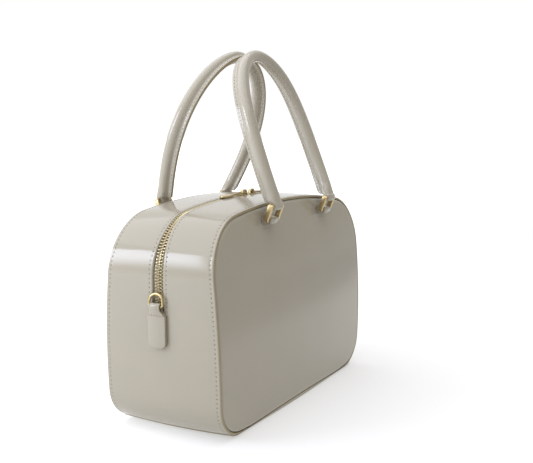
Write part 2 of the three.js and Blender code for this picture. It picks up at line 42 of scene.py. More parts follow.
# Gusset: the long band over both ends and the top, one strip of polished leather 2 mm thick.
# Its long edges are cut, dyed and rubbed, its middle is slit for the zip with the cut edges folded
# under, and it is machine sewn to the panels beside each edge and to the zip beside the slit.
MM = 0.001
GAP = 0.3
LEATHER = 2.0
OUTLINE_ARCS = ((638.0, 8.25), (45.7, 81.85), (1719.0, 3.0), (28.5, 86.9))
BASE_THICKNESS = 2.0
DEPTH_FOOT = 98.5
DEPTH_TOP = 81.4
DEPTH_SWELL = 8.55
GUSSET_CROWN = 1.4
GUSSET_LAP = 10.0
GUSSET_SKIVED = 0.5
HEEL_COVERED = 10.94
GUSSET_STEP = 2.5
GUSSET_ZIP_BAND = 20.0
THINNEST = 0.1
EDGE_ROLL = 0.7
EDGE_FACING = 0.9
SLIT_WIDTH = 9.0
SLIT_CLOSED = 4.2
SLIT_AT_SLIDERS = (17.0, 30.0)
SLIT_OPENS = (112.0, 155.0)
SLIT_END_HEIGHT = 86.0
SLIT_FOLD = 1.0
SEAM_INSET = 2.9
ZIP_SEAM = 2.8
SEWN_IN = 0.1
SEWN_WIDTH = 0.7
SEWN_ROOM = 2.0
FOLD_STEPS = 4
ZIP_SIDE_STEPS = 8
GUSSET_MIDDLE_STEPS = 8
SEAM_SIDE_STEPS = 9
EDGE_ROLL_STEPS = 7
HALVINGS = 40
SEAM_PITCH = 3.3
SEAM_POINTS = 400
ZIP_SEAM_POINTS = 300
THREAD_THICKNESS = 0.5
NEEDLE_HOLE = 0.6
NEEDLE_HOLE_DEPTH = 0.2
HOLES_BETWEEN = 2.4
STITCH_SLANT = math.radians(5.0)

Arc = namedtuple("Arc", "along angle x z radius")


def chained(sizes):
    """Tangent arcs of radius and turn, laid from the middle of the top to the flat foot."""
    chain = []
    along = angle = x = z = 0.0
    for radius, turn in sizes:
        chain.append(Arc(along, angle, x, z, radius))
        turned = angle + math.radians(turn)
        x += radius * (math.sin(turned) - math.sin(angle))
        z += radius * (math.cos(turned) - math.cos(angle))
        along += radius * math.radians(turn)
        angle = turned
    return chain, Arc(along, angle, x, z, None)


arcs, flat = chained(OUTLINE_ARCS)
side_arc, heel_arc = arcs[2:]
BODY_HEIGHT = BASE_THICKNESS + GAP - flat.z
OUTLINE_END = flat.along + flat.x


def outline(distance, out=0.0, y=0.0):
    """Point of the bag's side outline, at a distance along it from the middle of the top."""
    reach = abs(distance)
    if reach >= flat.along:
        facing = math.pi
        x = flat.x - (reach - flat.along)
        z = flat.z
    else:
        arc = [a for a in arcs if a.along <= reach][-1]
        facing = arc.angle + (reach - arc.along) / arc.radius
        x = arc.x + arc.radius * (math.sin(facing) - math.sin(arc.angle))
        z = arc.z + arc.radius * (math.cos(facing) - math.cos(arc.angle))
    hand = math.copysign(1.0, distance)
    return Vector((hand * (x + out * math.sin(facing)), y, BODY_HEIGHT + z + out * math.cos(facing)))


def spaced(low, high, steps):
    """Even places from low to high, both among them."""
    return [low + (high - low) * k / steps for k in range(steps + 1)]


def eased(value, low, high):
    """Smooth step from 0 at low to 1 at high."""
    share = min(max((value - low) / (high - low), 0.0), 1.0)
    return share * share * (3 - 2 * share)


def half_depth(z):
    """Half the bag's depth at the seam, at a height."""
    share = min(max(z / BODY_HEIGHT, 0.0), 1.0)
    swell = 4 * DEPTH_SWELL * share * (1 - share)
    return (DEPTH_FOOT * (1 - share) + DEPTH_TOP * share + swell) / 2


gusset_end = flat.along + GUSSET_LAP
covered_from = flat.along - HEEL_COVERED


def crown(distance, y):
    """Rise of the gusset's face over its edges, gone where the base holds it flat."""
    across = y / half_depth(outline(distance).z)
    free = 1 - eased(abs(distance), covered_from, gusset_end)
    return GUSSET_CROWN * free * (1 - across * across)


def gusset_wall(distance):
    """Thickness of the gusset, skived where the base laps over its end."""
    return LEATHER + (GUSSET_SKIVED - LEATHER) * eased(abs(distance), covered_from, gusset_end)


def on_gusset(distance, y, lift=0.0):
    """Point on the gusset's face or above it, and the way out there."""
    point = outline(distance, crown(distance, y) + lift, y)
    return point, (outline(distance, 1.0) - outline(distance)).normalized()


def distance_at(height):
    """Distance along the outline at which the side stands at a height."""
    low, high = side_arc.along, heel_arc.along
    for _ in range(HALVINGS):
        middle = (low + high) / 2
        if outline(middle).z > height:
            low = middle
        else:
            high = middle
    return low


slit_end = distance_at(SLIT_END_HEIGHT)


def slit_half(distance):
    """Half the slit's width: drawn in over the closed teeth, wide at the sliders and on the ends."""
    reach = abs(distance)
    drawn_in = eased(reach, *SLIT_AT_SLIDERS) * (1 - eased(reach, *SLIT_OPENS))
    return (SLIT_WIDTH + (SLIT_CLOSED - SLIT_WIDTH) * drawn_in) / 2


def gusset_columns(half, slit):
    """Places across the gusset from its slit to one edge, closest where it bends or is sewn."""
    seam = half - SEAM_INSET
    fold = [slit + SLIT_FOLD * (1 - math.cos(turn)) for turn in spaced(0, math.pi / 2, FOLD_STEPS)]
    sewn_zip = spaced(slit + SLIT_FOLD, slit + ZIP_SEAM + SEWN_ROOM, ZIP_SIDE_STEPS)
    middle = spaced(slit + ZIP_SEAM + SEWN_ROOM, seam - SEWN_ROOM, GUSSET_MIDDLE_STEPS)
    sewn_seam = spaced(seam - SEWN_ROOM, half - EDGE_ROLL, SEAM_SIDE_STEPS)
    turns = spaced(0, math.pi / 2, EDGE_ROLL_STEPS)
    roll = [half - EDGE_ROLL * (1 - math.sin(turn)) for turn in turns]
    return fold + sewn_zip[1:] + middle[1:] + sewn_seam[1:] + roll[1:]


def gusset_drop(y, half, slit, is_slit):
    """Fall of the gusset's face at its rolled edge, at its folded slit and along its thread."""
    over_edge = y - half + EDGE_ROLL
    over_slit = slit + SLIT_FOLD - y
    drop = SEWN_IN * math.exp(-(((y - half + SEAM_INSET) / SEWN_WIDTH) ** 2))
    if over_edge > 0:
        drop += EDGE_ROLL - math.sqrt(max(EDGE_ROLL**2 - over_edge**2, 0.0))
    if is_slit:
        drop += SEWN_IN * math.exp(-(((y - slit - ZIP_SEAM) / SEWN_WIDTH) ** 2))
    if is_slit and over_slit > 0:
        drop += SLIT_FOLD - math.sqrt(max(SLIT_FOLD**2 - over_slit**2, 0.0))
    return drop


def walled(outer, inner, quads):
    """Points and faces of a wall between a face and its inner side, closed along every rim."""
    edges = {(quad[k], quad[(k + 1) % 4]) for quad in quads for k in range(4)}
    rim = sorted(edge for edge in edges if edge[::-1] not in edges)
    count = len(outer)
    lining = [tuple(count + k for k in reversed(quad)) for quad in quads]
    walls = [(b, a, a + count, b + count) for a, b in rim]
    return outer + inner, quads + lining + walls


def make_gusset():
    """Gusset as a closed wall of leather, with its slit left open."""
    outer = []
    inner = []
    quads = []
    distances = spaced(-gusset_end, gusset_end, round(2 * gusset_end / GUSSET_STEP))
    for distance in distances:
        half = half_depth(outline(distance).z)
        slit = slit_half(distance)
        columns = gusset_columns(half, slit)
        wall = gusset_wall(distance)
        for y in [-y for y in reversed(columns)] + columns:
            drop = gusset_drop(abs(y), half, slit, abs(distance) <= slit_end)
            outer.append(on_gusset(distance, y, -drop)[0])
            inner.append(on_gusset(distance, y, -max(drop + THINNEST, wall))[0])
    width = 2 * len(columns)
    for row in range(len(distances) - 1):
        open_here = max(abs(distances[row]), abs(distances[row + 1])) <= slit_end
        for k in range(width - 1):
            corner = row * width + k
            if open_here and k == len(columns) - 1:
                continue
            quads.append((corner, corner + width, corner + width + 1, corner + 1))
    return walled(outer, inner, quads)


def linear(hex_colour):
    """sRGB hex value as a linear colour."""
    shares = [int(hex_colour[k : k + 2], 16) / 255 for k in (1, 3, 5)]
    return tuple(c / 12.92 if c <= 0.04045 else ((c + 0.055) / 1.055) ** 2.4 for c in shares) + (1.0,)


def add(tree, kind, values=None, links=None, **settings):
    """Adds a node with its settings, its sockets' own values and its links from other sockets."""
    node = tree.nodes.new(kind)
    for name, value in settings.items():
        setattr(node, name, value)
    for socket, value in (values or {}).items():
        node.inputs[socket].default_value = value
    for socket, source in (links or {}).items():
        tree.links.new(source, node.inputs[socket])
    return node


def new_material(name):
    """Material with its node tree and its shader."""
    material = bpy.data.materials.new(name)
    material.use_nodes = True
    return material, material.node_tree, material.node_tree.nodes["Principled BSDF"]


# Polished box calf, brushed smooth and glazed: a cream-grey skin under a clear glaze that mirrors its
# surroundings a little blurred, a tone that drifts over the hide, and slow waves where it was stretched.
# The pores are drawn larger than real ones, which are too fine to show.
HIDE_TONE = 0.045
HIDE_WAVE = 0.03
HIDE_PORE = 0.0012


def polished_calf(name, darker, paler):
    """Polished calf between two shades of the hide."""
    made, tree, shader = new_material(name)
    place = add(tree, "ShaderNodeTexCoord").outputs["Object"]
    tone = add(tree, "ShaderNodeTexNoise", {"Scale": 1 / HIDE_TONE, "Detail": 3.0}, {"Vector": place})
    hide = add(
        tree,
        "ShaderNodeMix",
        {6: linear(darker), 7: linear(paler)},
        {0: tone.outputs["Fac"]},
        data_type="RGBA",
    )
    waves = add(tree, "ShaderNodeTexNoise", {"Scale": 1 / HIDE_WAVE, "Detail": 1.0}, {"Vector": place})
    wavy = add(
        tree,
        "ShaderNodeBump",
        {"Strength": 0.3, "Distance": 0.0005},
        {"Height": waves.outputs["Fac"]},
    )
    pores = add(tree, "ShaderNodeTexNoise", {"Scale": 1 / HIDE_PORE, "Detail": 1.0}, {"Vector": place})
    porous = add(
        tree,
        "ShaderNodeBump",
        {"Strength": 0.005, "Distance": 0.00002},
        {"Height": pores.outputs["Fac"], "Normal": wavy.outputs["Normal"]},
    )
    gloss = add(
        tree,
        "ShaderNodeMapRange",
        {"To Min": 0.1, "To Max": 0.15},
        {"Value": tone.outputs["Fac"]},
    )
    tree.links.new(hide.outputs[2], shader.inputs["Base Color"])
    tree.links.new(gloss.outputs["Result"], shader.inputs["Roughness"])
    tree.links.new(porous.outputs["Normal"], shader.inputs["Normal"])
    return made


polished_leather = polished_calf("polished_calf_leather", "#999384", "#9e9789")

# Twisted polyester thread, waxed: the hide's own shade, dull, with the ply as fine slant ribs.
THREAD_PLY = 0.0004
waxed_thread, tree, shader = new_material("waxed_polyester_thread")
place = add(tree, "ShaderNodeTexCoord").outputs["Object"]
ply = add(
    tree,
    "ShaderNodeTexWave",
    {"Scale": 1 / THREAD_PLY, "Distortion": 0.6},
    {"Vector": place},
    bands_direction="DIAGONAL",
)
twist = add(
    tree,
    "ShaderNodeMix",
    {6: linear("#a39e8f"), 7: linear("#b0ab9d")},
    {0: ply.outputs["Fac"]},
    data_type="RGBA",
)
ribs = add(tree, "ShaderNodeBump", {"Strength": 0.3, "Distance": 0.00005}, {"Height": ply.outputs["Fac"]})
tree.links.new(twist.outputs[2], shader.inputs["Base Color"])
tree.links.new(ribs.outputs["Normal"], shader.inputs["Normal"])
shader.inputs["Roughness"].default_value = 0.8

# Needle hole: a flat dark disc at the leather's face, its colour painted shade standing in for the dark
# inside of a hole over raw brown fibre, without gloss.
HOLE_FIBRE = 0.0005
hole_painted_shade, tree, shader = new_material("raw_hide_in_needle_hole")
place = add(tree, "ShaderNodeTexCoord").outputs["Object"]
fibre = add(tree, "ShaderNodeTexNoise", {"Scale": 1 / HOLE_FIBRE}, {"Vector": place})
shade = add(
    tree,
    "ShaderNodeMix",
    {6: linear("#453c2f"), 7: linear("#584e3d")},
    {0: fibre.outputs["Fac"]},
    data_type="RGBA",
)
tree.links.new(shade.outputs[2], shader.inputs["Base Color"])
shader.inputs["Roughness"].default_value = 0.9
shader.inputs["Specular IOR Level"].default_value = 0.1

# Cut leather edge, dyed and rubbed: olive brown, satin, with the fibres of the hide as fine lines.
EDGE_FIBRE = 0.0007
rubbed_edge, tree, shader = new_material("rubbed_leather_edge")
place = add(tree, "ShaderNodeTexCoord").outputs["Object"]
fibre = add(tree, "ShaderNodeTexNoise", {"Scale": 1 / EDGE_FIBRE, "Detail": 3.0}, {"Vector": place})
dye = add(
    tree,
    "ShaderNodeMix",
    {6: linear("#87795a"), 7: linear("#9d9172")},
    {0: fibre.outputs["Fac"]},
    data_type="RGBA",
)
rubbed = add(
    tree,
    "ShaderNodeBump",
    {"Strength": 0.3, "Distance": 0.00006},
    {"Height": fibre.outputs["Fac"]},
)
tree.links.new(dye.outputs[2], shader.inputs["Base Color"])
tree.links.new(rubbed.outputs["Normal"], shader.inputs["Normal"])
shader.inputs["Roughness"].default_value = 0.5


def new_piece(name, mesh, body):
    """Object of a finished mesh, riding on a body."""
    made = bpy.data.objects.new(name, mesh)
    scene.collection.objects.link(made)
    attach(made, body)
    return made


def smooth_mesh(name, points, faces, *materials, crease=40.0):
    """Mesh from points in mm, facing outwards, smooth but for its creases."""
    mesh = bpy.data.meshes.new(name)
    mesh.from_pydata([point * MM for point in points], [], faces)
    for material in materials:
        mesh.materials.append(material)
    shape = bmesh.new()
    shape.from_mesh(mesh)
    bmesh.ops.recalc_face_normals(shape, faces=shape.faces)
    for edge in shape.edges:
        edge.smooth = edge.calc_face_angle(0.0) < math.radians(crease)
    for face in shape.faces:
        face.smooth = True
    shape.to_mesh(mesh)
    shape.free()
    return mesh


def edge_faces(mesh, picks):
    """Gives the second material to the faces picked by their middle and their normal, in mm."""
    for face in mesh.polygons:
        if picks(face.center / MM, face.normal):
            face.material_index = 1


def finished(mesh, *modifiers):
    """Plain mesh that modifiers make of another, each given as its kind and its settings."""
    holder = bpy.data.objects.new(mesh.name, mesh)
    scene.collection.objects.link(holder)
    for kind, settings in modifiers:
        modifier = holder.modifiers.new(kind, kind)
        for name, value in settings.items():
            if kind == "NODES" and name != "node_group":
                modifier[name] = value
            else:
                setattr(modifier, name, value)
    bpy.context.view_layer.update()
    made = bpy.data.meshes.new_from_object(holder.evaluated_get(bpy.context.evaluated_depsgraph_get()))
    bpy.data.objects.remove(holder)
    return made


def new_tree(name, sockets):
    """Geometry tree with named inputs, its input node and the identifiers of its inputs."""
    made = bpy.data.node_groups.new(name, "GeometryNodeTree")
    made.interface.new_socket("Geometry", in_out="OUTPUT", socket_type="NodeSocketGeometry")
    identifiers = {}
    for socket, kind in sockets.items():
        identifiers[socket] = made.interface.new_socket(socket, in_out="INPUT", socket_type=kind).identifier
    return made, add(made, "NodeGroupInput"), identifiers


# Machine stitching: a lockstitch of round thread that dips into a needle hole between stitches.
# The tree lays stitches, and flat discs of painted shade for the holes, along rows of points that carry the
# way out of the leather.
stitching, given, stitching_ids = new_tree(
    "machine_stitching",
    {
        "Rows": "NodeSocketGeometry",
        "Pitch": "NodeSocketFloat",
        "Stitch length": "NodeSocketFloat",
        "Thread thickness": "NodeSocketFloat",
        "Needle hole": "NodeSocketFloat",
        "Slant": "NodeSocketFloat",
        "Seed": "NodeSocketInt",
        "Thread": "NodeSocketMaterial",
        "Hole": "NodeSocketMaterial",
    },
)
rows = add(stitching, "GeometryNodeMeshToCurve", links={"Mesh": given.outputs["Rows"]})
spots = add(
    stitching,
    "GeometryNodeResampleCurve",
    links={"Curve": rows.outputs["Curve"], "Length": given.outputs["Pitch"]},
    mode="LENGTH",
)
way_out = add(stitching, "GeometryNodeInputNamedAttribute", {"Name": "out"}, data_type="FLOAT_VECTOR")
heading = add(stitching, "GeometryNodeInputTangent")
laid = add(
    stitching,
    "FunctionNodeAxesToRotation",
    links={"Primary Axis": way_out.outputs["Attribute"], "Secondary Axis": heading.outputs["Tangent"]},
    primary_axis="Z",
    secondary_axis="X",
)
least_slant = add(
    stitching, "ShaderNodeMath", {1: -1.0}, {0: given.outputs["Slant"]}, operation="MULTIPLY"
)
slant = add(
    stitching,
    "FunctionNodeRandomValue",
    links={2: least_slant.outputs[0], 3: given.outputs["Slant"], "Seed": given.outputs["Seed"]},
)
slanted = add(
    stitching, "FunctionNodeAxisAngleToRotation", {"Axis": (0.0, 0.0, 1.0)}, {"Angle": slant.outputs[1]}
)
turned = add(
    stitching,
    "FunctionNodeRotateRotation",
    links={"Rotation": laid.outputs[0], "Rotate By": slanted.outputs[0]},
    rotation_space="LOCAL",
)
stitch_size = add(
    stitching,
    "ShaderNodeCombineXYZ",
    links={
        "X": given.outputs["Stitch length"],
        "Y": given.outputs["Thread thickness"],
        "Z": given.outputs["Thread thickness"],
    },
)
stitch = add(stitching, "GeometryNodeMeshUVSphere", {"Segments": 8, "Rings": 6, "Radius": 0.5})
stitches = add(
    stitching,
    "GeometryNodeInstanceOnPoints",
    links={
        "Points": spots.outputs["Curve"],
        "Instance": stitch.outputs["Mesh"],
        "Rotation": turned.outputs[0],
        "Scale": stitch_size.outputs[0],
    },
)
# Each hole is a flattened sphere at the face, coloured with painted shade, not cut into the leather.
hole_size = add(
    stitching,
    "ShaderNodeCombineXYZ",
    {"Z": NEEDLE_HOLE_DEPTH * MM},
    {"X": given.outputs["Needle hole"], "Y": given.outputs["Needle hole"]},
)
hole = add(stitching, "GeometryNodeMeshUVSphere", {"Segments": 8, "Rings": 4, "Radius": 1.0})
holes = add(
    stitching,
    "GeometryNodeInstanceOnPoints",
    links={
        "Points": spots.outputs["Curve"],
        "Instance": hole.outputs["Mesh"],
        "Rotation": laid.outputs[0],
        "Scale": hole_size.outputs[0],
    },
)
half_pitch = add(
    stitching, "ShaderNodeMath", {1: 0.5}, {0: given.outputs["Pitch"]}, operation="MULTIPLY"
)
between = add(stitching, "ShaderNodeCombineXYZ", links={"X": half_pitch.outputs[0]})
moved = add(
    stitching,
    "GeometryNodeTranslateInstances",
    links={"Instances": holes.outputs[0], "Translation": between.outputs[0]},
)
sewn = add(stitching, "GeometryNodeJoinGeometry")
for instances, finish in ((stitches, "Thread"), (moved, "Hole")):
    real = add(stitching, "GeometryNodeRealizeInstances", links={"Geometry": instances.outputs[0]})
    rounded = add(stitching, "GeometryNodeSetShadeSmooth", links={"Geometry": real.outputs[0]})
    dressed = add(
        stitching,
        "GeometryNodeSetMaterial",
        links={"Geometry": rounded.outputs[0], "Material": given.outputs[finish]},
    )
    stitching.links.new(dressed.outputs[0], sewn.inputs[0])
add(stitching, "NodeGroupOutput", links={0: sewn.outputs[0]})


def row_mesh(name, rows, **vectors):
    """Mesh of open rows of points in mm, with a named vector at every point."""
    points = [point for row in rows for point in row]
    edges = []
    start = 0
    for row in rows:
        edges += [(start + k, start + k + 1) for k in range(len(row) - 1)]
        start += len(row)
    mesh = bpy.data.meshes.new(name)
    mesh.from_pydata([point * MM for point in points], edges, [])
    for vector, values in vectors.items():
        held = mesh.attributes.new(vector, "FLOAT_VECTOR", "POINT")
        held.data.foreach_set("vector", [c for value in values for c in value])
    return mesh


def sew(name, rows, pitch, thread=THREAD_THICKNESS, hole=NEEDLE_HOLE, seed=1):
    """Stitches along rows of points and ways out, as one piece."""
    path = row_mesh(
        name,
        [[point for point, _ in row] for row in rows],
        out=[out for row in rows for _, out in row],
    )
    sizes = {
        "Pitch": pitch * MM,
        "Stitch length": (pitch - HOLES_BETWEEN * hole) * MM,
        "Thread thickness": thread * MM,
        "Needle hole": hole * MM,
        "Slant": STITCH_SLANT,
        "Seed": seed,
        "Thread": waxed_thread,
        "Hole": hole_painted_shade,
    }
    given = {stitching_ids[socket]: value for socket, value in sizes.items()}
    mesh = finished(path, ("NODES", {"node_group": stitching, **given}))
    return new_piece(name, mesh, "bag")


gusset_mesh = smooth_mesh("gusset_leather", *make_gusset(), polished_leather, rubbed_edge)
edge_faces(
    gusset_mesh,
    lambda middle, normal: abs(normal.y) > EDGE_FACING and abs(middle.y) > GUSSET_ZIP_BAND,
)
gusset = new_piece("gusset_leather", gusset_mesh, "bag")
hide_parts("gusset")
seam_rows = []
zip_rows = []
for hand in (-1, 1):
    row = []
    for distance in spaced(-covered_from, covered_from, SEAM_POINTS):
        y = hand * (half_depth(outline(distance).z) - SEAM_INSET)
        row.append(on_gusset(distance, y, -SEWN_IN))
    seam_rows.append(row)
    row = []
    for distance in spaced(-slit_end, slit_end, ZIP_SEAM_POINTS):
        row.append(on_gusset(distance, hand * (slit_half(distance) + ZIP_SEAM), -SEWN_IN))
    zip_rows.append(row)
sew("gusset_seam_stitches", seam_rows, SEAM_PITCH)
sew("zip_seam_stitches", zip_rows, SEAM_PITCH, seed=2)

# Panels: the front and the back, each one piece of the same leather moulded into a shallow tray.
# The turned edge is sewn under the gusset, or on the base along the bottom, the face is slightly
# domed, and a slit below each handle ring takes that ring's loop.
PANEL_WALL = 1.8
PANEL_FLANGE = 9.0
PANEL_CORNER = 2.4
PANEL_PROUD = 0.5
PANEL_DOME = 4.0
PANEL_HALF = 128.0
PANEL_STATIONS = 300
PANEL_RINGS = 36
PANEL_BEND_STEPS = 7
PANEL_FLANGE_STEPS = 3
PANEL_ONTO_BASE = 6.0
BASE_BUILT_UP = 1.0
RING_OUT = 49.6
LOOP_WIDTH = 11.0
LOOP_SLIT_HEIGHT = 156.4
LOOP_SLIT_HALF = 1.7
LOOP_SLIT_NEAR = 3
LOOP_DENT = 0.9
LOOP_DENT_SPREAD = 10.0


def panel_y(x, z):
    """How far the panel's face stands out from the bag's middle."""
    middle = BODY_HEIGHT / 2
    dome = PANEL_DOME * (1 - (x / PANEL_HALF) ** 2) * (1 - ((z - middle) / middle) ** 2)
    away = math.hypot(abs(x) - RING_OUT, z - LOOP_SLIT_HEIGHT) / LOOP_DENT_SPREAD
    return half_depth(z) + PANEL_PROUD + dome - LOOP_DENT * math.exp(-away * away)


def panel_rim(distance, inset):
    """Point of the panel's turned edge, as far in from its rim as the inset."""
    under_gusset = 1 - eased(abs(distance), gusset_end, gusset_end + PANEL_ONTO_BASE)
    over_base = BASE_BUILT_UP * eased(abs(distance), gusset_end, OUTLINE_END)
    return outline(distance, -(inset + GAP + gusset_wall(distance) * under_gusset + over_base))


def make_panel(hand):
    """Panel's outer skin, its middle in one point, seen from the front or from the back."""
    middle = Vector((0.0, 0.0, BODY_HEIGHT / 2))
    distances = spaced(-OUTLINE_END, OUTLINE_END, PANEL_STATIONS)[:-1]
    rings = []
    for ring in range(1, PANEL_RINGS + 1):
        share = ring / PANEL_RINGS
        flat_ring = [middle.lerp(panel_rim(d, PANEL_CORNER), share) for d in distances]
        rings.append([Vector((p.x, hand * panel_y(p.x, p.z), p.z)) for p in flat_ring])
    bends = [
        (PANEL_CORNER * (1 - math.sin(a)), PANEL_CORNER * (1 - math.cos(a)))
        for a in spaced(0, math.pi / 2, PANEL_BEND_STEPS)
    ]
    straight = [(0.0, back) for back in spaced(PANEL_CORNER, PANEL_FLANGE, PANEL_FLANGE_STEPS)]
    for inset, back in bends[1:] + straight[1:]:
        ring = []
        for distance in distances:
            point = panel_rim(distance, inset)
            point.y = hand * (panel_y(point.x, point.z) - back)
            ring.append(point)
        rings.append(ring)
    middle.y = hand * panel_y(middle.x, middle.z)
    points = [middle] + [point for ring in rings for point in ring]
    count = len(distances)
    faces = [(0, 1 + (k + 1) % count, 1 + k) for k in range(count)]
    for row in range(len(rings) - 1):
        for k in range(count):
            here = 1 + row * count
            after = (k + 1) % count
            faces.append((here + k, here + after, here + count + after, here + count + k))
    return points, faces if hand < 0 else [face[::-1] for face in faces]


def panel_mesh(name, hand):
    """Panel with its two slits cut, thickened to a wall of leather."""
    points, faces = make_panel(hand)
    mesh = bpy.data.meshes.new(name)
    mesh.from_pydata([point * MM for point in points], [], faces)
    mesh.materials.append(polished_leather)
    shape = bmesh.new()
    shape.from_mesh(mesh)
    reach = LOOP_WIDTH / 2 + GAP
    near_by = LOOP_SLIT_NEAR * reach
    for side in (-RING_OUT, RING_OUT):
        walls = [((side - reach, LOOP_SLIT_HEIGHT), (1, 0)), ((side + reach, LOOP_SLIT_HEIGHT), (1, 0))]
        walls += [((side, LOOP_SLIT_HEIGHT + rise), (0, 1)) for rise in (-LOOP_SLIT_HALF, LOOP_SLIT_HALF)]
        for (x, z), (along_x, along_z) in walls:
            near = []
            for face in shape.faces:
                centre = face.calc_center_median() / MM
                if abs(centre.x - side) < near_by and abs(centre.z - LOOP_SLIT_HEIGHT) < near_by:
                    near.append(face)
            parts = near + list({e for f in near for e in f.edges})
            parts += list({v for f in near for v in f.verts})
            bmesh.ops.bisect_plane(
                shape, geom=parts, plane_co=Vector((x, 0, z)) * MM, plane_no=(along_x, 0, along_z)
            )
        inside = []
        for face in shape.faces:
            centre = face.calc_center_median() / MM
            if abs(centre.x - side) < reach and abs(centre.z - LOOP_SLIT_HEIGHT) < LOOP_SLIT_HALF:
                inside.append(face)
        bmesh.ops.delete(shape, geom=inside, context="FACES")
    for face in shape.faces:
        face.smooth = True
    shape.to_mesh(mesh)
    shape.free()
    wall = {
        "thickness": PANEL_WALL * MM,
        "offset": -1.0,
        "use_even_offset": False,
        "use_quality_normals": True,
    }
    return finished(mesh, ("SOLIDIFY", wall))


for side, hand in (("front", -1), ("back", 1)):
    name = f"{side}_panel_leather"
    panel = new_piece(name, panel_mesh(name, hand), "bag")
    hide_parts(f"{side}_panel")

# Base: a strip of the same leather laid across the bottom and up both heels, over the gusset's ends.
# It is built up in its middle, skived towards its tips and glued down, and its cut edges are rubbed
# smooth and left brown.
BASE_SKIVED = 0.6
BASE_SEAT = 0.05
BASE_EDGE_ROUND = 0.7
BASE_TOP_ROUND = 0.5
BASE_CLOSE = 0.25
BASE_COLUMNS = 12
BASE_HEEL_STEPS = 8
BASE_FLAT_STEPS = 16
BASE_TIP = 1.0
CHAMFER_FACING = (0.4, 0.9)
TIP_FACING_OUT = 0.3
TIP_FACING_UP = 0.2


def loft(sections, ring=False):
    """Points and faces of a skin through closed sections, capped at its ends or joined in a ring."""
    width = len(sections[0])
    points = [point for section in sections for point in section]
    faces = []
    for row in range(len(sections) if ring else len(sections) - 1):
        here = row * width
        there = (row + 1) % len(sections) * width
        for k in range(width):
            after = (k + 1) % width
            faces.append((here + k, here + after, there + after, there + k))
    if not ring:
        faces += [tuple(reversed(range(width))), tuple(range(len(points) - width, len(points)))]
    return points, faces


climb = spaced(covered_from, flat.along, BASE_HEEL_STEPS)
climb += spaced(flat.along, OUTLINE_END, BASE_FLAT_STEPS)[1:]
sections = []
for distance in climb + [-d for d in reversed(climb[:-1])]:
    half = half_depth(outline(distance).z) - GAP
    fullness = eased(abs(distance), covered_from, OUTLINE_END)
    under = BASE_SEAT + BASE_SKIVED + (GAP + BASE_THICKNESS - BASE_SEAT - BASE_SKIVED) * fullness
    edge = BASE_EDGE_ROUND * (under - BASE_SEAT) / BASE_THICKNESS
    top_edge = BASE_TOP_ROUND * (under - BASE_SEAT) / BASE_THICKNESS
    seat = BASE_SEAT - (BASE_BUILT_UP + BASE_CLOSE) * eased(abs(distance), gusset_end, OUTLINE_END)
    lower = [(-half, under - edge)]
    lower += [(y, under) for y in spaced(edge - half, half - edge, BASE_COLUMNS)]
    lower += [(half, under - edge)]
    upper = [(half, seat + top_edge)]
    upper += [(y, seat) for y in spaced(half - top_edge, top_edge - half, BASE_COLUMNS)]
    upper += [(-half, seat + top_edge)]
    sections.append([outline(distance, out + crown(distance, y), y) for y, out in lower + upper])
base_mesh = smooth_mesh("base_leather", *loft(sections), polished_leather, rubbed_edge)
tip = outline(covered_from).x - BASE_TIP


def is_base_edge(middle, normal):
    """Whether a face is on the base's rubbed long edges or on the cut end of a tip."""
    if CHAMFER_FACING[0] < abs(normal.y) < CHAMFER_FACING[1]:
        return True
    return abs(middle.x) > tip and abs(normal.x) > TIP_FACING_OUT and normal.z > TIP_FACING_UP


edge_faces(base_mesh, is_base_edge)
base = new_piece("base_leather", base_mesh, "bag")
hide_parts("base")

# Zip tapes: two woven polyester tapes, sewn under the edges of the gusset's slit.
# Each carries one row of teeth on its inner edge.
TAPE_INNER = 1.0
TAPE_OUTER = 12.0
TAPE_THICKNESS = 0.7
TAPE_END_HEIGHT = 76.0
TAPE_STATIONS = 260
TAPE_COLUMNS = 4

# Woven polyester tape: matt greige, with its warp as ribs that run along the tape, drawn coarser than
# real ones, which are too fine to show.
TAPE_RIB = 0.0011
woven_tape, tree, shader = new_material("woven_polyester_tape")
place = add(tree, "ShaderNodeTexCoord").outputs["Object"]
warp = add(
    tree,
    "ShaderNodeTexWave",
    {"Scale": math.pi / 10 / TAPE_RIB, "Distortion": 0.4},
    {"Vector": place},
    bands_direction="Y",
)
yarn = add(
    tree,
    "ShaderNodeMix",
    {6: linear("#a79e86"), 7: linear("#c9c1ab")},
    {0: warp.outputs["Fac"]},
    data_type="RGBA",
)
weave = add(tree, "ShaderNodeBump", {"Strength": 0.6, "Distance": 0.0002}, {"Height": warp.outputs["Fac"]})
tree.links.new(yarn.outputs[2], shader.inputs["Base Color"])
tree.links.new(weave.outputs["Normal"], shader.inputs["Normal"])
shader.inputs["Roughness"].default_value = 0.85
shader.inputs["Sheen Weight"].default_value = 0.2

tape_end = distance_at(TAPE_END_HEIGHT)
for side, hand in (("front", -1), ("back", 1)):
    sections = []
    for distance in spaced(-tape_end, tape_end, TAPE_STATIONS):
        under = -LEATHER - GAP
        top = [(y, under) for y in spaced(TAPE_INNER, TAPE_OUTER, TAPE_COLUMNS)]
        bottom = [(y, under - TAPE_THICKNESS) for y in spaced(TAPE_OUTER, TAPE_INNER, TAPE_COLUMNS)]
        sections.append([on_gusset(distance, hand * y, lift)[0] for y, lift in top + bottom])
    tape_mesh = smooth_mesh(f"zip_tape_{side}_woven", *loft(sections), woven_tape)
    tape = new_piece(f"zip_tape_{side}_woven", tape_mesh, "bag")
    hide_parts(f"zip_tape_{side}")

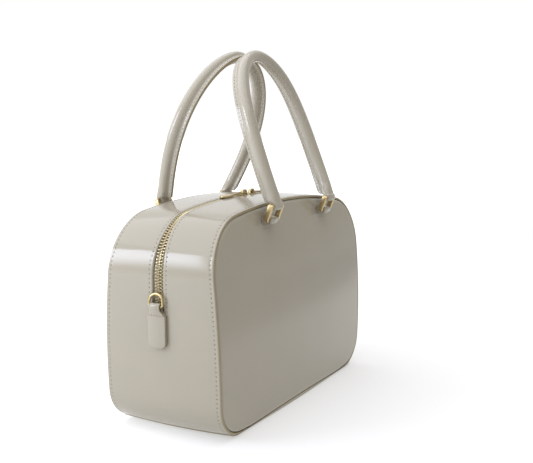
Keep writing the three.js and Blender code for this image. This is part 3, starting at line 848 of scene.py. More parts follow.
# Zip teeth: two rows of stamped brass teeth, plated pale gold, that mesh half a pitch apart.
# Each tooth is clenched on the inner edge of its tape, and the rows part under the two sliders.
TOOTH_PITCH = 2.35
TOOTH_MIDDLE = 2.0
TOOTH_SECTIONS = (
    (3.3, 0.4, 0.9),
    (3.05, 0.62, 1.35),
    (2.4, 0.7, 1.5),
    (1.6, 0.68, 1.45),
    (1.1, 0.5, 1.0),
    (0.4, 0.42, 0.85),
    (-0.2, 0.5, 0.85),
    (-0.7, 0.5, 0.8),
    (-0.95, 0.3, 0.6),
)
TOOTH_OUTLINE = (
    (1.0, 0.6),
    (0.55, 1.0),
    (-0.55, 1.0),
    (-1.0, 0.6),
    (-1.0, -0.6),
    (-0.55, -1.0),
    (0.55, -1.0),
    (1.0, -0.6),
)
TEETH_START = {"left": 6.15, "right": 4.15}
POINTS_A_TOOTH = 3

# Brass plated pale gold and tumbled bright: a warm mirror, a little softened by fine scratches.
GOLD_SCRATCH = 0.0006


def plated_brass(name, darker, paler):
    """Brass plated in a shade of gold, its scratches between two tones."""
    made, tree, shader = new_material(name)
    place = add(tree, "ShaderNodeTexCoord").outputs["Object"]
    scratch = add(tree, "ShaderNodeTexNoise", {"Scale": 1 / GOLD_SCRATCH, "Detail": 3.0}, {"Vector": place})
    plating = add(
        tree,
        "ShaderNodeMix",
        {6: linear(darker), 7: linear(paler)},
        {0: scratch.outputs["Fac"]},
        data_type="RGBA",
    )
    bright = add(
        tree,
        "ShaderNodeMapRange",
        {"To Min": 0.24, "To Max": 0.34},
        {"Value": scratch.outputs["Fac"]},
    )
    tumbled = add(
        tree,
        "ShaderNodeBump",
        {"Strength": 0.1, "Distance": 0.00002},
        {"Height": scratch.outputs["Fac"]},
    )
    tree.links.new(plating.outputs[2], shader.inputs["Base Color"])
    tree.links.new(bright.outputs["Result"], shader.inputs["Roughness"])
    tree.links.new(tumbled.outputs["Normal"], shader.inputs["Normal"])
    shader.inputs["Metallic"].default_value = 1.0
    return made


tooth_gold = plated_brass("pale_gold_plated_teeth", "#b6a988", "#c0b496")
pale_gold = plated_brass("pale_gold_plated_brass", "#b9a579", "#c3b188")

toothing, given, toothing_ids = new_tree(
    "zip_toothing",
    {
        "Lines": "NodeSocketGeometry",
        "Tooth": "NodeSocketObject",
        "Pitch": "NodeSocketFloat",
        "Metal": "NodeSocketMaterial",
    },
)
lines = add(toothing, "GeometryNodeMeshToCurve", links={"Mesh": given.outputs["Lines"]})
spots = add(
    toothing,
    "GeometryNodeResampleCurve",
    links={"Curve": lines.outputs["Curve"], "Length": given.outputs["Pitch"]},
    mode="LENGTH",
)
way_out = add(toothing, "GeometryNodeInputNamedAttribute", {"Name": "out"}, data_type="FLOAT_VECTOR")
to_tape = add(toothing, "GeometryNodeInputNamedAttribute", {"Name": "to_tape"}, data_type="FLOAT_VECTOR")
clenched = add(
    toothing,
    "FunctionNodeAxesToRotation",
    links={"Primary Axis": way_out.outputs["Attribute"], "Secondary Axis": to_tape.outputs["Attribute"]},
    primary_axis="Z",
    secondary_axis="X",
)
tooth_shape = add(toothing, "GeometryNodeObjectInfo", links={"Object": given.outputs["Tooth"]})
teeth = add(
    toothing,
    "GeometryNodeInstanceOnPoints",
    links={
        "Points": spots.outputs["Curve"],
        "Instance": tooth_shape.outputs["Geometry"],
        "Rotation": clenched.outputs[0],
    },
)
real = add(toothing, "GeometryNodeRealizeInstances", links={"Geometry": teeth.outputs[0]})
plated = add(
    toothing,
    "GeometryNodeSetMaterial",
    links={"Geometry": real.outputs[0], "Material": given.outputs["Metal"]},
)
add(toothing, "NodeGroupOutput", links={0: plated.outputs[0]})

tooth_sections = []
for x, along, high in TOOTH_SECTIONS:
    tooth_sections.append([Vector((x, along * a, high * h)) for a, h in TOOTH_OUTLINE])
tooth_mesh = smooth_mesh("tooth", *loft(tooth_sections), tooth_gold, crease=50.0)
tooth = bpy.data.objects.new("tooth", tooth_mesh)
scene.collection.objects.link(tooth)
for side, hand in (("left", -1), ("right", 1)):
    start = TEETH_START[side]
    count = int((slit_end - start) / TOOTH_PITCH) - 1
    lines = []
    for to_side in (-1, 1):
        first = start + (TOOTH_PITCH / 2 if to_side > 0 else 0.0)
        steps = spaced(first, first + count * TOOTH_PITCH, POINTS_A_TOOTH * count)
        lines.append([(on_gusset(hand * d, 0.0, -TOOTH_MIDDLE), to_side) for d in steps])
    path = row_mesh(
        f"zip_teeth_{side}",
        [[at[0] for at, _ in line] for line in lines],
        out=[at[1] for line in lines for at, _ in line],
        to_tape=[(0.0, to_side, 0.0) for line in lines for _, to_side in line],
    )
    sizes = {"Tooth": tooth, "Pitch": TOOTH_PITCH * MM, "Metal": tooth_gold}
    given = {toothing_ids[socket]: value for socket, value in sizes.items()}
    teeth_mesh = finished(path, ("NODES", {"node_group": toothing, **given}))
    teeth_piece = new_piece(f"zip_teeth_{side}", teeth_mesh, "bag")
    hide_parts(f"zip_chain_{side}")
bpy.data.objects.remove(tooth)

# Sliders and pulls: two die-cast sliders, nose to nose, each with a flat pull hung in its bridge.
# They are cast, tumbled and plated, so every edge is a little round.
CAST_ROUND = 0.35
CAST_CREASE = math.radians(30.0)
CAST_FLAT = math.radians(1.0)
CAST_MERGED = 0.001


def cast(name, node):
    """Copy of a solid with its facets joined and its edges rounded."""
    shape = bmesh.new()
    shape.from_mesh(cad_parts[node].data)
    bmesh.ops.remove_doubles(shape, verts=shape.verts, dist=CAST_MERGED * MM)
    bmesh.ops.dissolve_limit(shape, angle_limit=CAST_FLAT, verts=shape.verts, edges=shape.edges)
    mesh = bpy.data.meshes.new(name)
    for face in shape.faces:
        face.smooth = True
        face.material_index = 0
    shape.to_mesh(mesh)
    shape.free()
    mesh.materials.append(pale_gold)
    rounding = {
        "width": CAST_ROUND * MM,
        "segments": 3,
        "limit_method": "ANGLE",
        "angle_limit": CAST_CREASE,
        "harden_normals": True,
        "use_clamp_overlap": True,
    }
    return finished(mesh, ("BEVEL", rounding))


for side in ("left", "right"):
    for node, body in ((f"zip_slider_{side}", "bag"), (f"zip_pull_{side}", f"zip_pull_{side}")):
        casting = new_piece(f"{node}_cast", cast(f"{node}_cast", node), body)
        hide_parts(node)

# End tabs and D-rings: over each end of the zip a strap of leather is folded round the straight bar
# of a D-ring, sewn across below the ring and glued down. The ring is bent from round brass wire and
# can turn on its bar. The strap's edges are cut, dyed and rubbed.
D_RING_HEIGHT = 100.0
D_RING_WIDTH = 13.7
D_RING_RISE = 10.0
D_RING_SPRING = 3.5
D_RING_WIRE = 2.0
D_RING_CORNER = 1.6
D_RING_LEAN = math.radians(8.0)
D_RING_BAR_STEPS = 8
D_RING_CORNER_STEPS = 6
D_RING_ARCH_STEPS = 32
D_RING_WIRE_STEPS = 16
TAB_WALL = 1.3
TAB_NECK = 9.0
TAB_NECK_END = 3.0
TAB_WIDTH = 15.3
TAB_SHOULDER = 7.4
TAB_LENGTH = 31.0
TAB_CORNER = 4.5
TAB_TIP = 0.2
TAB_BACK_LAID = 7.0
TAB_FRONT_LAID = 8.5
TAB_CORNER_STEPS = 7
TAB_BODY_STEPS = 16
TAB_NECK_STEPS = 6
TAB_BEND_STEPS = 14
TAB_SECTION = (
    (-1.0, -0.5),
    (-1.0, 0.5),
    (-0.97, 0.82),
    (-0.93, 1.0),
    (0.0, 1.0),
    (0.93, 1.0),
    (0.97, 0.82),
    (1.0, 0.5),
    (1.0, -0.5),
    (0.95, -1.0),
    (0.0, -1.0),
    (-0.95, -1.0),
)
TAB_EDGE_FACING = 0.8
TAB_FOOT_FROM = 20.0
TAB_SEWN_AT = 6.6
TAB_SEWN_INSET = 1.1
TAB_SEWN_POINTS = 12
TAB_PITCH = 2.2
BAR_LIFT = GAP + TAB_WALL + GAP + D_RING_WIRE / 2


def standing(distance):
    """Frame on the gusset: X down along it, Y across it and Z out, with its start on the face."""
    point, out = on_gusset(distance, 0.0)
    across = Vector((0.0, 1.0, 0.0))
    down = across.cross(out)
    placed = Matrix((down, across, out)).transposed().to_4x4()
    placed.translation = point
    return placed


def tab_half(down):
    """Half the tab's width at a distance below the ring's bar."""
    neck = TAB_NECK / 2
    wide = TAB_WIDTH / 2
    flare = min(max((down - TAB_NECK_END) / (TAB_SHOULDER - TAB_NECK_END), 0.0), 1.0)
    half = neck + (wide - neck) * flare
    into_corner = down - TAB_LENGTH + TAB_CORNER
    if into_corner > 0:
        half = wide - TAB_CORNER + math.sqrt(max(TAB_CORNER**2 - into_corner**2, TAB_TIP**2))
    return half


def tab_route():
    """Middle of the strap's thickness: up the back ply, round the bar and down the front ply."""
    roll = D_RING_WIRE / 2 + GAP / 2 + TAB_WALL / 2
    back_at = GAP + TAB_WALL / 2
    front_at = back_at + TAB_WALL
    turns = spaced(math.pi / 2, 0, TAB_CORNER_STEPS)
    downs = [TAB_LENGTH - TAB_CORNER + TAB_CORNER * math.sin(a) for a in turns]
    downs += spaced(TAB_LENGTH - TAB_CORNER, TAB_SHOULDER, TAB_BODY_STEPS)[1:]
    downs += spaced(TAB_SHOULDER, TAB_NECK_END, TAB_NECK_STEPS)[1:]
    downs += spaced(TAB_NECK_END, 0.0, TAB_NECK_STEPS)[1:]
    leave = BAR_LIFT - roll - back_at
    arrive = BAR_LIFT + roll - front_at
    back = [(down, back_at + leave * (1 - eased(down, 0.0, TAB_BACK_LAID))) for down in downs]
    turns = spaced(0, math.pi, TAB_BEND_STEPS)
    bend = [(-roll * math.sin(a), BAR_LIFT - roll * math.cos(a)) for a in turns]
    front = [
        (down, front_at + arrive * (1 - eased(down, 0.0, TAB_FRONT_LAID))) for down in reversed(downs)
    ]
    return back + bend[1:-1] + front


def make_tab(placed):
    """Folded strap of the tab, section by section along its route."""
    route = tab_route()
    thick = TAB_WALL / 2
    sections = []
    for k, (down, out) in enumerate(route):
        before = route[max(k - 1, 0)]
        after = route[min(k + 1, len(route) - 1)]
        run = Vector((after[0] - before[0], 0.0, after[1] - before[1])).normalized()
        face = Vector((-run.z, 0.0, run.x))
        half = tab_half(down)
        corners = []
        for y, lift in TAB_SECTION:
            corners.append(placed @ (Vector((down, y * half, out)) + face * lift * thick))
        sections.append(corners)
    return loft(sections)


def make_d_ring(placed):
    """Wire of the D-ring: a straight bar, two bends and an arch, closed."""
    half = (D_RING_WIDTH - D_RING_WIRE) / 2
    radius = D_RING_WIRE / 2
    arch = D_RING_RISE - D_RING_SPRING - radius
    inner = half - D_RING_CORNER
    route = [Vector((x, 0.0)) for x in spaced(-inner, inner, D_RING_BAR_STEPS)[:-1]]
    route += [
        Vector((inner + D_RING_CORNER * math.sin(a), D_RING_CORNER * (1 - math.cos(a))))
        for a in spaced(0, math.pi / 2, D_RING_CORNER_STEPS)
    ]
    route += [
        Vector((half * math.cos(a), D_RING_SPRING + arch * math.sin(a)))
        for a in spaced(0, math.pi, D_RING_ARCH_STEPS)
    ]
    route += [
        Vector((-inner - D_RING_CORNER * math.cos(a), D_RING_CORNER * (1 - math.sin(a))))
        for a in spaced(0, math.pi / 2, D_RING_CORNER_STEPS)[:-1]
    ]
    leaned = placed @ Matrix.Translation((0.0, 0.0, BAR_LIFT)) @ Matrix.Rotation(-D_RING_LEAN, 4, "Y")
    sections = []
    for k, point in enumerate(route):
        run = (route[(k + 1) % len(route)] - route[k - 1]).normalized()
        section = []
        for a in spaced(0, 2 * math.pi, D_RING_WIRE_STEPS)[:-1]:
            across = radius * math.cos(a)
            local = Vector((-point.y - across * run.x, point.x - across * run.y, radius * math.sin(a)))
            section.append(leaned @ local)
        sections.append(section)
    return loft(sections, ring=True)


right_end = standing(distance_at(D_RING_HEIGHT))
mirror = Matrix.Diagonal((-1.0, 1.0, 1.0, 1.0))
for side, placed in (("left", mirror @ right_end), ("right", right_end)):
    name = f"end_tab_{side}_leather"
    tab_mesh = smooth_mesh(name, *make_tab(placed), polished_leather, rubbed_edge, crease=50.0)
    for face in tab_mesh.polygons:
        local = placed.to_3x3().inverted() @ face.normal
        down = (placed.inverted() @ (face.center / MM)).x
        is_side = abs(local.y) > TAB_EDGE_FACING
        is_foot = abs(local.x) > TAB_EDGE_FACING and abs(down) > TAB_FOOT_FROM
        if is_side or is_foot:
            face.material_index = 1
    tab = new_piece(name, tab_mesh, "bag")
    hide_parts(f"end_tab_{side}")
    ring_mesh = smooth_mesh(f"d_ring_{side}_wire", *make_d_ring(placed), pale_gold)
    ring = new_piece(f"d_ring_{side}_wire", ring_mesh, f"d_ring_{side}")
    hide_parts(f"d_ring_{side}")
    face_at = GAP + 2 * TAB_WALL
    out = (placed.to_3x3() @ Vector((0.0, 0.0, 1.0))).normalized()
    half = tab_half(TAB_SEWN_AT) - TAB_SEWN_INSET
    over_bar = BAR_LIFT + D_RING_WIRE / 2 + GAP / 2 + TAB_WALL - face_at
    sewn_at = face_at + over_bar * (1 - eased(TAB_SEWN_AT, 0.0, TAB_FRONT_LAID))
    row = []
    for y in spaced(-half, half, TAB_SEWN_POINTS):
        row.append((placed @ Vector((TAB_SEWN_AT, y, sewn_at)), out))
    sew(f"end_tab_{side}_stitches", [row], TAB_PITCH, thread=0.45, hole=0.5, seed=3)

# Handle rings and their loops: four rectangular rings of flat brass bar, plated like the zip.
# A strap of leather is folded round each ring's lower bar, and both its plies go through the slit
# in the panel and are sewn down behind it, with a short row of stitches that shows below the slit.
RING_Y = -48.8
RING_Z = 157.4
RING_WIDTH = 20.0
RING_HEIGHT = 14.5
RING_BAR = 2.7
RING_DEPTH = 4.2
RING_TILT = math.radians(22.0)
RING_BEVEL = 0.45
RING_BEVEL_STEPS = 3
RING_CORNER = 0.8
RING_CORNER_LEAST = 0.3
RING_CORNER_STEPS = 5
LOOP_WALL = 1.1
LOOP_CORNER = 1.3
LOOP_SLIT_Y = -44.8
LOOP_INSIDE = 4.0
LOOP_EDGE = 0.35
LOOP_EDGE_SHARES = ((0.0, 0.9), (0.4, 0.97), (1.0, 1.0))
LOOP_CORNER_STEPS = 6
LOOP_PITCH = 2.6
LOOP_SEWN_BELOW = 4.4
LOOP_SEWN_HALF = 5.2
LOOP_SEWN_POINTS = 8


def rounded_rectangle(half_width, half_height, corner, steps):
    """Points round a rectangle with round corners."""
    points = []
    for turn, (right, up) in enumerate(((1, 1), (-1, 1), (-1, -1), (1, -1))):
        for a in spaced(turn * math.pi / 2, (turn + 1) * math.pi / 2, steps):
            x = right * (half_width - corner) + corner * math.cos(a)
            z = up * (half_height - corner) + corner * math.sin(a)
            points.append((x, z))
    return points


def make_ring(placed):
    """Flat bar bent to a rectangle, as rounded rectangles round the bar's own section."""
    section = rounded_rectangle(RING_BAR / 2, RING_DEPTH / 2, RING_BEVEL, RING_BEVEL_STEPS)
    half_width = (RING_WIDTH - RING_BAR) / 2
    half_height = (RING_HEIGHT - RING_BAR) / 2
    loops = []
    for out, deep in section:
        corner = max(RING_CORNER + out, RING_CORNER_LEAST)
        turn = rounded_rectangle(half_width + out, half_height + out, corner, RING_CORNER_STEPS)
        loops.append([placed @ Vector((x, deep, z + half_height)) for x, z in turn])
    return loft(loops, ring=True)


def make_loop(placed, side):
    """Folded strap round the ring's lower bar, drawn together into the slit."""
    wrap = GAP + LOOP_WALL
    fold = rounded_rectangle(
        RING_DEPTH / 2 + wrap, RING_BAR / 2 + wrap, LOOP_CORNER, LOOP_CORNER_STEPS
    )
    tilted = [Matrix.Rotation(RING_TILT, 2) @ Vector(point) for point in fold]
    tail = Vector((LOOP_SLIT_Y - RING_Y, LOOP_SLIT_HEIGHT - RING_Z))
    end = tail.normalized() * (tail.length + LOOP_INSIDE)
    ply = Vector((-tail.y, tail.x)).normalized() * LOOP_WALL
    silhouette = tilted + [end + ply, end - ply]
    hull = [silhouette[k] for k in geometry.convex_hull_2d(silhouette)]
    cuts = [(LOOP_EDGE * along - LOOP_WIDTH / 2, share) for along, share in LOOP_EDGE_SHARES]
    cuts += [(-x, share) for x, share in reversed(cuts)]
    sections = []
    for x, share in cuts:
        section = [Vector((side + x, RING_Y + p.x * share, RING_Z + p.y * share)) for p in hull]
        sections.append([placed @ point for point in section])
    return loft(sections)


back_mirror = Matrix.Diagonal((1.0, -1.0, 1.0, 1.0))
for side, mirrored in (("front", Matrix.Identity(4)), ("back", back_mirror)):
    loop_rows = []
    for end, hand in (("left", -1), ("right", 1)):
        name = f"{side}_{end}"
        placed = Matrix.Translation((hand * RING_OUT, RING_Y, RING_Z)) @ Matrix.Rotation(RING_TILT, 4, "X")
        ring_mesh = smooth_mesh(f"handle_ring_{name}_bar", *make_ring(mirrored @ placed), pale_gold)
        ring = new_piece(f"handle_ring_{name}_bar", ring_mesh, "bag")
        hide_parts(f"handle_ring_{name}")
        strap = make_loop(mirrored, hand * RING_OUT)
        loop_mesh = smooth_mesh(f"ring_loop_{name}_leather", *strap, polished_leather)
        loop = new_piece(f"ring_loop_{name}_leather", loop_mesh, "bag")
        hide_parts(f"ring_loop_{name}")
        below = LOOP_SLIT_HEIGHT - LOOP_SLIT_HALF - LOOP_SEWN_BELOW
        out = mirrored.to_3x3() @ Vector((0.0, -1.0, 0.0))
        row = []
        for x in spaced(-LOOP_SEWN_HALF, LOOP_SEWN_HALF, LOOP_SEWN_POINTS):
            across = hand * RING_OUT + x
            row.append((mirrored @ Vector((across, -panel_y(across, below), below)), out))
        loop_rows.append(row)
    sew(f"ring_loop_{side}_stitches", loop_rows, LOOP_PITCH, thread=0.4, hole=0.36, seed=4)

# Handles: two rolled handles, each a strap of leather closed round a cord and sewn along a flange on
# its inner side. The flange's edge is cut, dyed and rubbed. At each end the strap is pressed flat,
# taken round the upper bar of its ring and sewn back inside the roll.
HANDLE_APEX_Y = -9.0
HANDLE_APEX_Z = 286.9
HANDLE_SPREAD = 16.7
HANDLE_RISE_X = 75.1
HANDLE_RISE_Z = 271.3
HANDLE_SWAY = 3.8
HANDLE_RADIUS = 5.0
TUBE_STEPS = 30
FLANGE_REACH = 8.5
FLANGE_HALF = 1.35
FLANGE_ROUND = 0.25
FLANGE_STRAIGHT = 7.2
FLANGE_SEWN = 6.9
VALLEY_OPEN = math.radians(28.0)
VALLEY = ((0.0, 6.1), (0.12, 5.4), (0.45, 4.85))
FOOT_WIDTH = 12.4
FOOT_DEPTH = 8.0
FOOT_PROFILE = ((-3.5, 0.35), (-3.3, 0.58), (-2.8, 0.8), (-2.0, 0.94), (-1.0, 1.0), (0.6, 1.0), (2.2, 1.0))
FOOT_SQUARE = 0.6
FOOT_FROM = 2.5
FOOT_TO = 13.0
FLANGE_FROM = 2.25
FLANGE_FULL = 2.65
FLANGE_POINTS = 6
LEG_FROM = 0.0085
LEG_FOOT = 0.06
LEG_FOOT_STEPS = 24
HANDLE_STEPS = 70
HANDLE_NEAR = 0.005
HANDLE_PITCH = 3.3
foot_y = RING_Y - (RING_HEIGHT - RING_BAR) * math.sin(RING_TILT)
foot_z = RING_Z + (RING_HEIGHT - RING_BAR) * math.cos(RING_TILT)


def handle_line(share, hand):
    """Middle of the front handle at a share of one leg, from the ring's upper bar to the apex."""
    rest = 1 - share
    weights = (rest**3, 3 * rest * rest * share, 3 * rest * share * share, share**3)
    x = sum(w * v for w, v in zip(weights, (RING_OUT, HANDLE_RISE_X, HANDLE_SPREAD, 0.0)))
    z = sum(w * v for w, v in zip(weights, (foot_z, HANDLE_RISE_Z, HANDLE_APEX_Z, HANDLE_APEX_Z)))
    climb = (z - foot_z) / (HANDLE_APEX_Z - foot_z)
    y = foot_y + (HANDLE_APEX_Y - foot_y) * climb + hand * HANDLE_SWAY * math.sin(math.pi * climb)
    return Vector((hand * x, y, z))


def roll_section():
    """Section of the roll: the flange's two plies meet the tube in a soft valley."""
    right = [
        (FLANGE_HALF - FLANGE_ROUND, FLANGE_REACH),
        (FLANGE_HALF, FLANGE_REACH - FLANGE_ROUND),
        (FLANGE_HALF, FLANGE_STRAIGHT),
    ]
    right += [(FLANGE_HALF + aside, reach) for aside, reach in VALLEY]
    tube = [
        (HANDLE_RADIUS * math.sin(a), HANDLE_RADIUS * math.cos(a))
        for a in spaced(VALLEY_OPEN, 2 * math.pi - VALLEY_OPEN, TUBE_STEPS)
    ]
    left = [(-x, y) for x, y in reversed(right)]
    return right + tube + left


def foot_section(section):
    """Section of the flattened foot, with its points at the angles of the roll's."""
    points = []
    for x, y in section:
        a = math.atan2(x, y)
        wide = math.copysign(abs(math.sin(a)) ** FOOT_SQUARE, x)
        deep = math.copysign(abs(math.cos(a)) ** FOOT_SQUARE, math.cos(a))
        points.append((FOOT_WIDTH / 2 * wide, FOOT_DEPTH / 2 * deep))
    return points


roll = roll_section()
foot = foot_section(roll)


def handle_stations():
    """Places along the front handle: point, heading, flattening of the tube and of the flange, depth."""
    up = Vector((0.0, 0.0, 1.0))
    stations = []
    for hand in (-1, 1):
        start = handle_line(0.0, hand)
        leg = [(start + up * rise, up, 1.0, 1.0, share) for rise, share in FOOT_PROFILE]
        shares = spaced(LEG_FROM, LEG_FOOT, LEG_FOOT_STEPS) + spaced(LEG_FOOT, 1.0, HANDLE_STEPS)[1:]
        for share in shares:
            at = handle_line(share, hand)
            ahead = handle_line(min(share + HANDLE_NEAR, 1.0), hand)
            run = (ahead - handle_line(share - HANDLE_NEAR, hand)).normalized()
            climbed = (at - start).length
            flattened = 1 - eased(climbed, FOOT_FROM, FOOT_TO)
            cut = 1 - eased(climbed, FLANGE_FROM, FLANGE_FULL)
            leg.append((at, up.lerp(run, 1 - flattened).normalized(), flattened, cut, 1.0))
        if hand > 0:
            leg = [(at, -run, *shape) for at, run, *shape in reversed(leg[:-1])]
        stations += leg
    return stations


def handle_axes(run):
    """Way towards the bag's middle and way across the handle, for its heading."""
    inward = (Vector((0.0, 1.0, 0.0)) - run * run.y).normalized()
    return inward, inward.cross(run)


# The handles take a lighter copy of the body's calf: painted light, its extra paleness standing in for
# light that falls on them.
handle_leather_painted_lighter = polished_calf("polished_calf_handle_leather", "#a19b8c", "#a69f92")
stations = handle_stations()
for side, mirrored in (("front", Matrix.Identity(4)), ("back", back_mirror)):
    sections = []
    rows = [[], []]
    for at, run, flattened, cut, share in stations:
        inward, across = handle_axes(run)
        section = []
        for k, ((rx, ry), (fx, fy)) in enumerate(zip(roll, foot)):
            on_flange = k < FLANGE_POINTS or k >= len(roll) - FLANGE_POINTS
            pressed = cut if on_flange else flattened
            x = rx + (fx - rx) * pressed
            y = (ry + (fy - ry) * pressed) * share
            section.append(mirrored @ (at + across * x + inward * y))
        sections.append(section)
        if cut == 0.0:
            for row, way in zip(rows, (-1, 1)):
                point = at + across * way * FLANGE_HALF + inward * FLANGE_SEWN
                row.append((mirrored @ point, mirrored.to_3x3() @ across * way))
    name = f"handle_{side}_roll"
    handle_mesh = smooth_mesh(name, *loft(sections), handle_leather_painted_lighter, rubbed_edge, crease=60.0)
    for row, (_, _, _, cut, _) in enumerate(stations[:-1], start=1):
        if cut == 0.0:
            handle_mesh.polygons[row * len(roll) - 1].material_index = 1
    handle = new_piece(name, handle_mesh, "bag")
    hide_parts(f"handle_{side}")
    sew(f"handle_{side}_stitches", rows, HANDLE_PITCH, thread=0.26, hole=0.3, seed=5)

# Studio: a white floor that runs out of view, a white surround behind the bag that dims towards the
# front, a soft box over the bag and one off its left end, and the camera at the photograph's place.
FLOOR_HALF = 30.0
DEPTH_AXIS = (-0.175, 1.0, 0.0)
GLOW_MIDDLE = 0.41
GLOW_MIDDLE_RAMP = (-0.42, -0.22)
GLOW_FAR = 0.44
GLOW_FAR_RAMP = (-0.1, 0.4)
GLOW_AWAY = 0.2
GLOW_AWAY_RAMP = (1.1, 2.2)
SURROUND_FRONT = 0.6
SURROUND_BACK = 1.02
SURROUND_RAMP = (-0.35, 0.15)
WARM_WALL = (1.02, 0.985, 0.91, 1.0)
WHITE_WALL = (1.0, 1.0, 1.0, 1.0)
DAYLIGHT = (0.97, 1.0, 1.1)
OVERHEAD_AT = (-0.3, 0.3, 1.5)
OVERHEAD_TOWARDS = (-0.1, 0.1, 0.1)
OVERHEAD_SIDE = 2.6
OVERHEAD_POWER = 23.0
NORTH_LIGHT = (0.92, 1.0, 1.2)
LEFT_AT = (-0.98, 0.82, 0.45)
LEFT_TOWARDS = (-0.13, 0.0, 0.13)
LEFT_ROLL = math.radians(20.0)
LEFT_WIDTH = 0.74
LEFT_HEIGHT = 0.62
LEFT_POWER = 10.5
LEFT_FADE = 0.65
LEAST_FADE = 0.001
CAMERA_AT = Vector((-0.5994, -0.3421, 0.2236))
CAMERA_AZIMUTH = math.radians(-61.58)
CAMERA_ELEVATION = math.radians(6.85)
CAMERA_LENS = 54.68
CAMERA_SHIFT_Y = -0.002

# White paper with a painted glow: it gives off light though it is no lamp, none in front of the bag, some
# around it, more behind it and a little more far off, so that it shows next to no shadow.
PAPER_MOTTLE = 0.3
floor_with_painted_glow, tree, shader = new_material("white_paper_floor")
place = add(tree, "ShaderNodeTexCoord").outputs["Object"]
mottle = add(tree, "ShaderNodeTexNoise", {"Scale": 1 / PAPER_MOTTLE}, {"Vector": place})
paper = add(
    tree,
    "ShaderNodeMix",
    {6: linear("#bcbcbc"), 7: linear("#c0c0c0")},
    {0: mottle.outputs["Fac"]},
    data_type="RGBA",
)
tree.links.new(paper.outputs[2], shader.inputs["Base Color"])
shader.inputs["Roughness"].default_value = 0.9
shader.inputs["Specular IOR Level"].default_value = 0.0
shader.inputs["Emission Color"].default_value = (1.0, 1.0, 1.0, 1.0)
depth = add(tree, "ShaderNodeVectorMath", {1: DEPTH_AXIS}, {0: place}, operation="DOT_PRODUCT")
away = add(tree, "ShaderNodeVectorMath", links={0: place}, operation="LENGTH")
glows = []
for measure, (dark, full), strength in (
    (depth, GLOW_MIDDLE_RAMP, GLOW_MIDDLE),
    (depth, GLOW_FAR_RAMP, GLOW_FAR),
    (away, GLOW_AWAY_RAMP, GLOW_AWAY),
):
    ramp = add(
        tree,
        "ShaderNodeMapRange",
        {"From Min": dark, "From Max": full, "To Max": strength},
        {"Value": measure.outputs["Value"]},
        interpolation_type="SMOOTHSTEP",
    )
    glows.append(ramp.outputs["Result"])
behind = add(tree, "ShaderNodeMath", links={0: glows[0], 1: glows[1]}, operation="ADD")
glow = add(tree, "ShaderNodeMath", links={0: behind.outputs["Value"], 1: glows[2]}, operation="ADD")
tree.links.new(glow.outputs["Value"], shader.inputs["Emission Strength"])
floor_mesh = bpy.data.meshes.new("floor")
corners = [(-1, -1), (1, -1), (1, 1), (-1, 1)]
floor_mesh.from_pydata([(x * FLOOR_HALF, y * FLOOR_HALF, 0.0) for x, y in corners], [], [(0, 1, 2, 3)])
floor_mesh.materials.append(floor_with_painted_glow)
floor = bpy.data.objects.new("floor", floor_mesh)
scene.collection.objects.link(floor)

world = bpy.data.worlds.new("white_surround")
world.use_nodes = True
tree = world.node_tree
tree.nodes.clear()
place = add(tree, "ShaderNodeTexCoord").outputs["Generated"]
depth = add(tree, "ShaderNodeSeparateXYZ", links={"Vector": place})
behind = add(
    tree,
    "ShaderNodeMapRange",
    {"From Min": SURROUND_RAMP[0], "From Max": SURROUND_RAMP[1]},
    {"Value": depth.outputs["Y"]},
    interpolation_type="SMOOTHSTEP",
)
walls = add(
    tree,
    "ShaderNodeMix",
    {6: [SURROUND_FRONT * c for c in WARM_WALL], 7: [SURROUND_BACK * c for c in WHITE_WALL]},
    {0: behind.outputs["Result"]},
    data_type="RGBA",
)
surround = add(tree, "ShaderNodeBackground", links={"Color": walls.outputs[2]})
add(tree, "ShaderNodeOutputWorld", links={"Surface": surround.outputs["Background"]})
scene.world = world


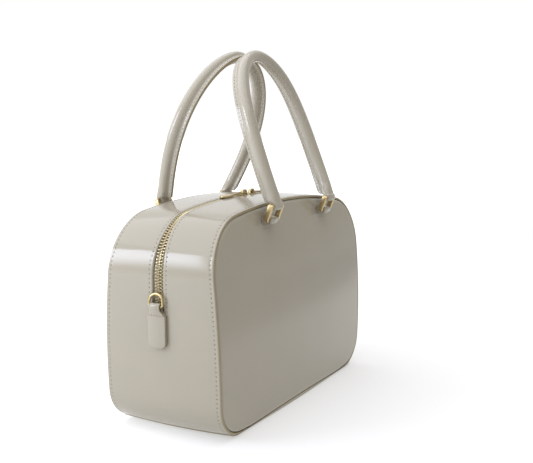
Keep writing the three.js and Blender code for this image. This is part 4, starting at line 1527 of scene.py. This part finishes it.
def soft_box(name, at, towards, width, height, power, colour, roll=0.0, fade=0.0):
    """Soft box turned towards a point and rolled, its cloth dimmer over a share at its foot."""
    light = bpy.data.lights.new(name, "AREA")
    light.shape = "RECTANGLE"
    light.size = width
    light.size_y = height
    light.energy = power
    light.color = colour
    light.use_nodes = True
    tree = light.node_tree
    tree.nodes.clear()
    cloth = add(tree, "ShaderNodeNewGeometry").outputs["Parametric"]
    up_cloth = add(tree, "ShaderNodeSeparateXYZ", links={"Vector": cloth})
    dimmed = add(
        tree,
        "ShaderNodeMapRange",
        {"From Min": 0.0, "From Max": max(fade, LEAST_FADE)},
        {"Value": up_cloth.outputs["Y"]},
        interpolation_type="SMOOTHSTEP",
    )
    lamp = add(tree, "ShaderNodeEmission", links={"Strength": dimmed.outputs["Result"]})
    add(tree, "ShaderNodeOutputLight", links={"Surface": lamp.outputs["Emission"]})
    made = bpy.data.objects.new(name, light)
    made.location = at
    aimed = (Vector(at) - Vector(towards)).to_track_quat("Z", "Y")
    made.rotation_euler = (aimed @ Quaternion((0.0, 0.0, 1.0), roll)).to_euler()
    scene.collection.objects.link(made)


soft_box(
    "overhead_soft_box",
    OVERHEAD_AT,
    OVERHEAD_TOWARDS,
    OVERHEAD_SIDE,
    OVERHEAD_SIDE,
    OVERHEAD_POWER,
    DAYLIGHT,
)
soft_box(
    "left_soft_box",
    LEFT_AT,
    LEFT_TOWARDS,
    LEFT_WIDTH,
    LEFT_HEIGHT,
    LEFT_POWER,
    NORTH_LIGHT,
    roll=LEFT_ROLL,
    fade=LEFT_FADE,
)

camera_data = bpy.data.cameras.new("camera")
camera_data.lens = CAMERA_LENS
camera_data.sensor_width = 36.0
camera_data.shift_y = CAMERA_SHIFT_Y
camera_data.dof.use_dof = False
camera = bpy.data.objects.new("camera", camera_data)
camera.location = CAMERA_AT
back = Vector(
    (
        math.sin(CAMERA_AZIMUTH) * math.cos(CAMERA_ELEVATION),
        -math.cos(CAMERA_AZIMUTH) * math.cos(CAMERA_ELEVATION),
        math.sin(CAMERA_ELEVATION),
    )
)
camera.rotation_euler = back.to_track_quat("Z", "Y").to_euler()
scene.collection.objects.link(camera)
scene.camera = camera
scene.view_settings.view_transform = "Standard"
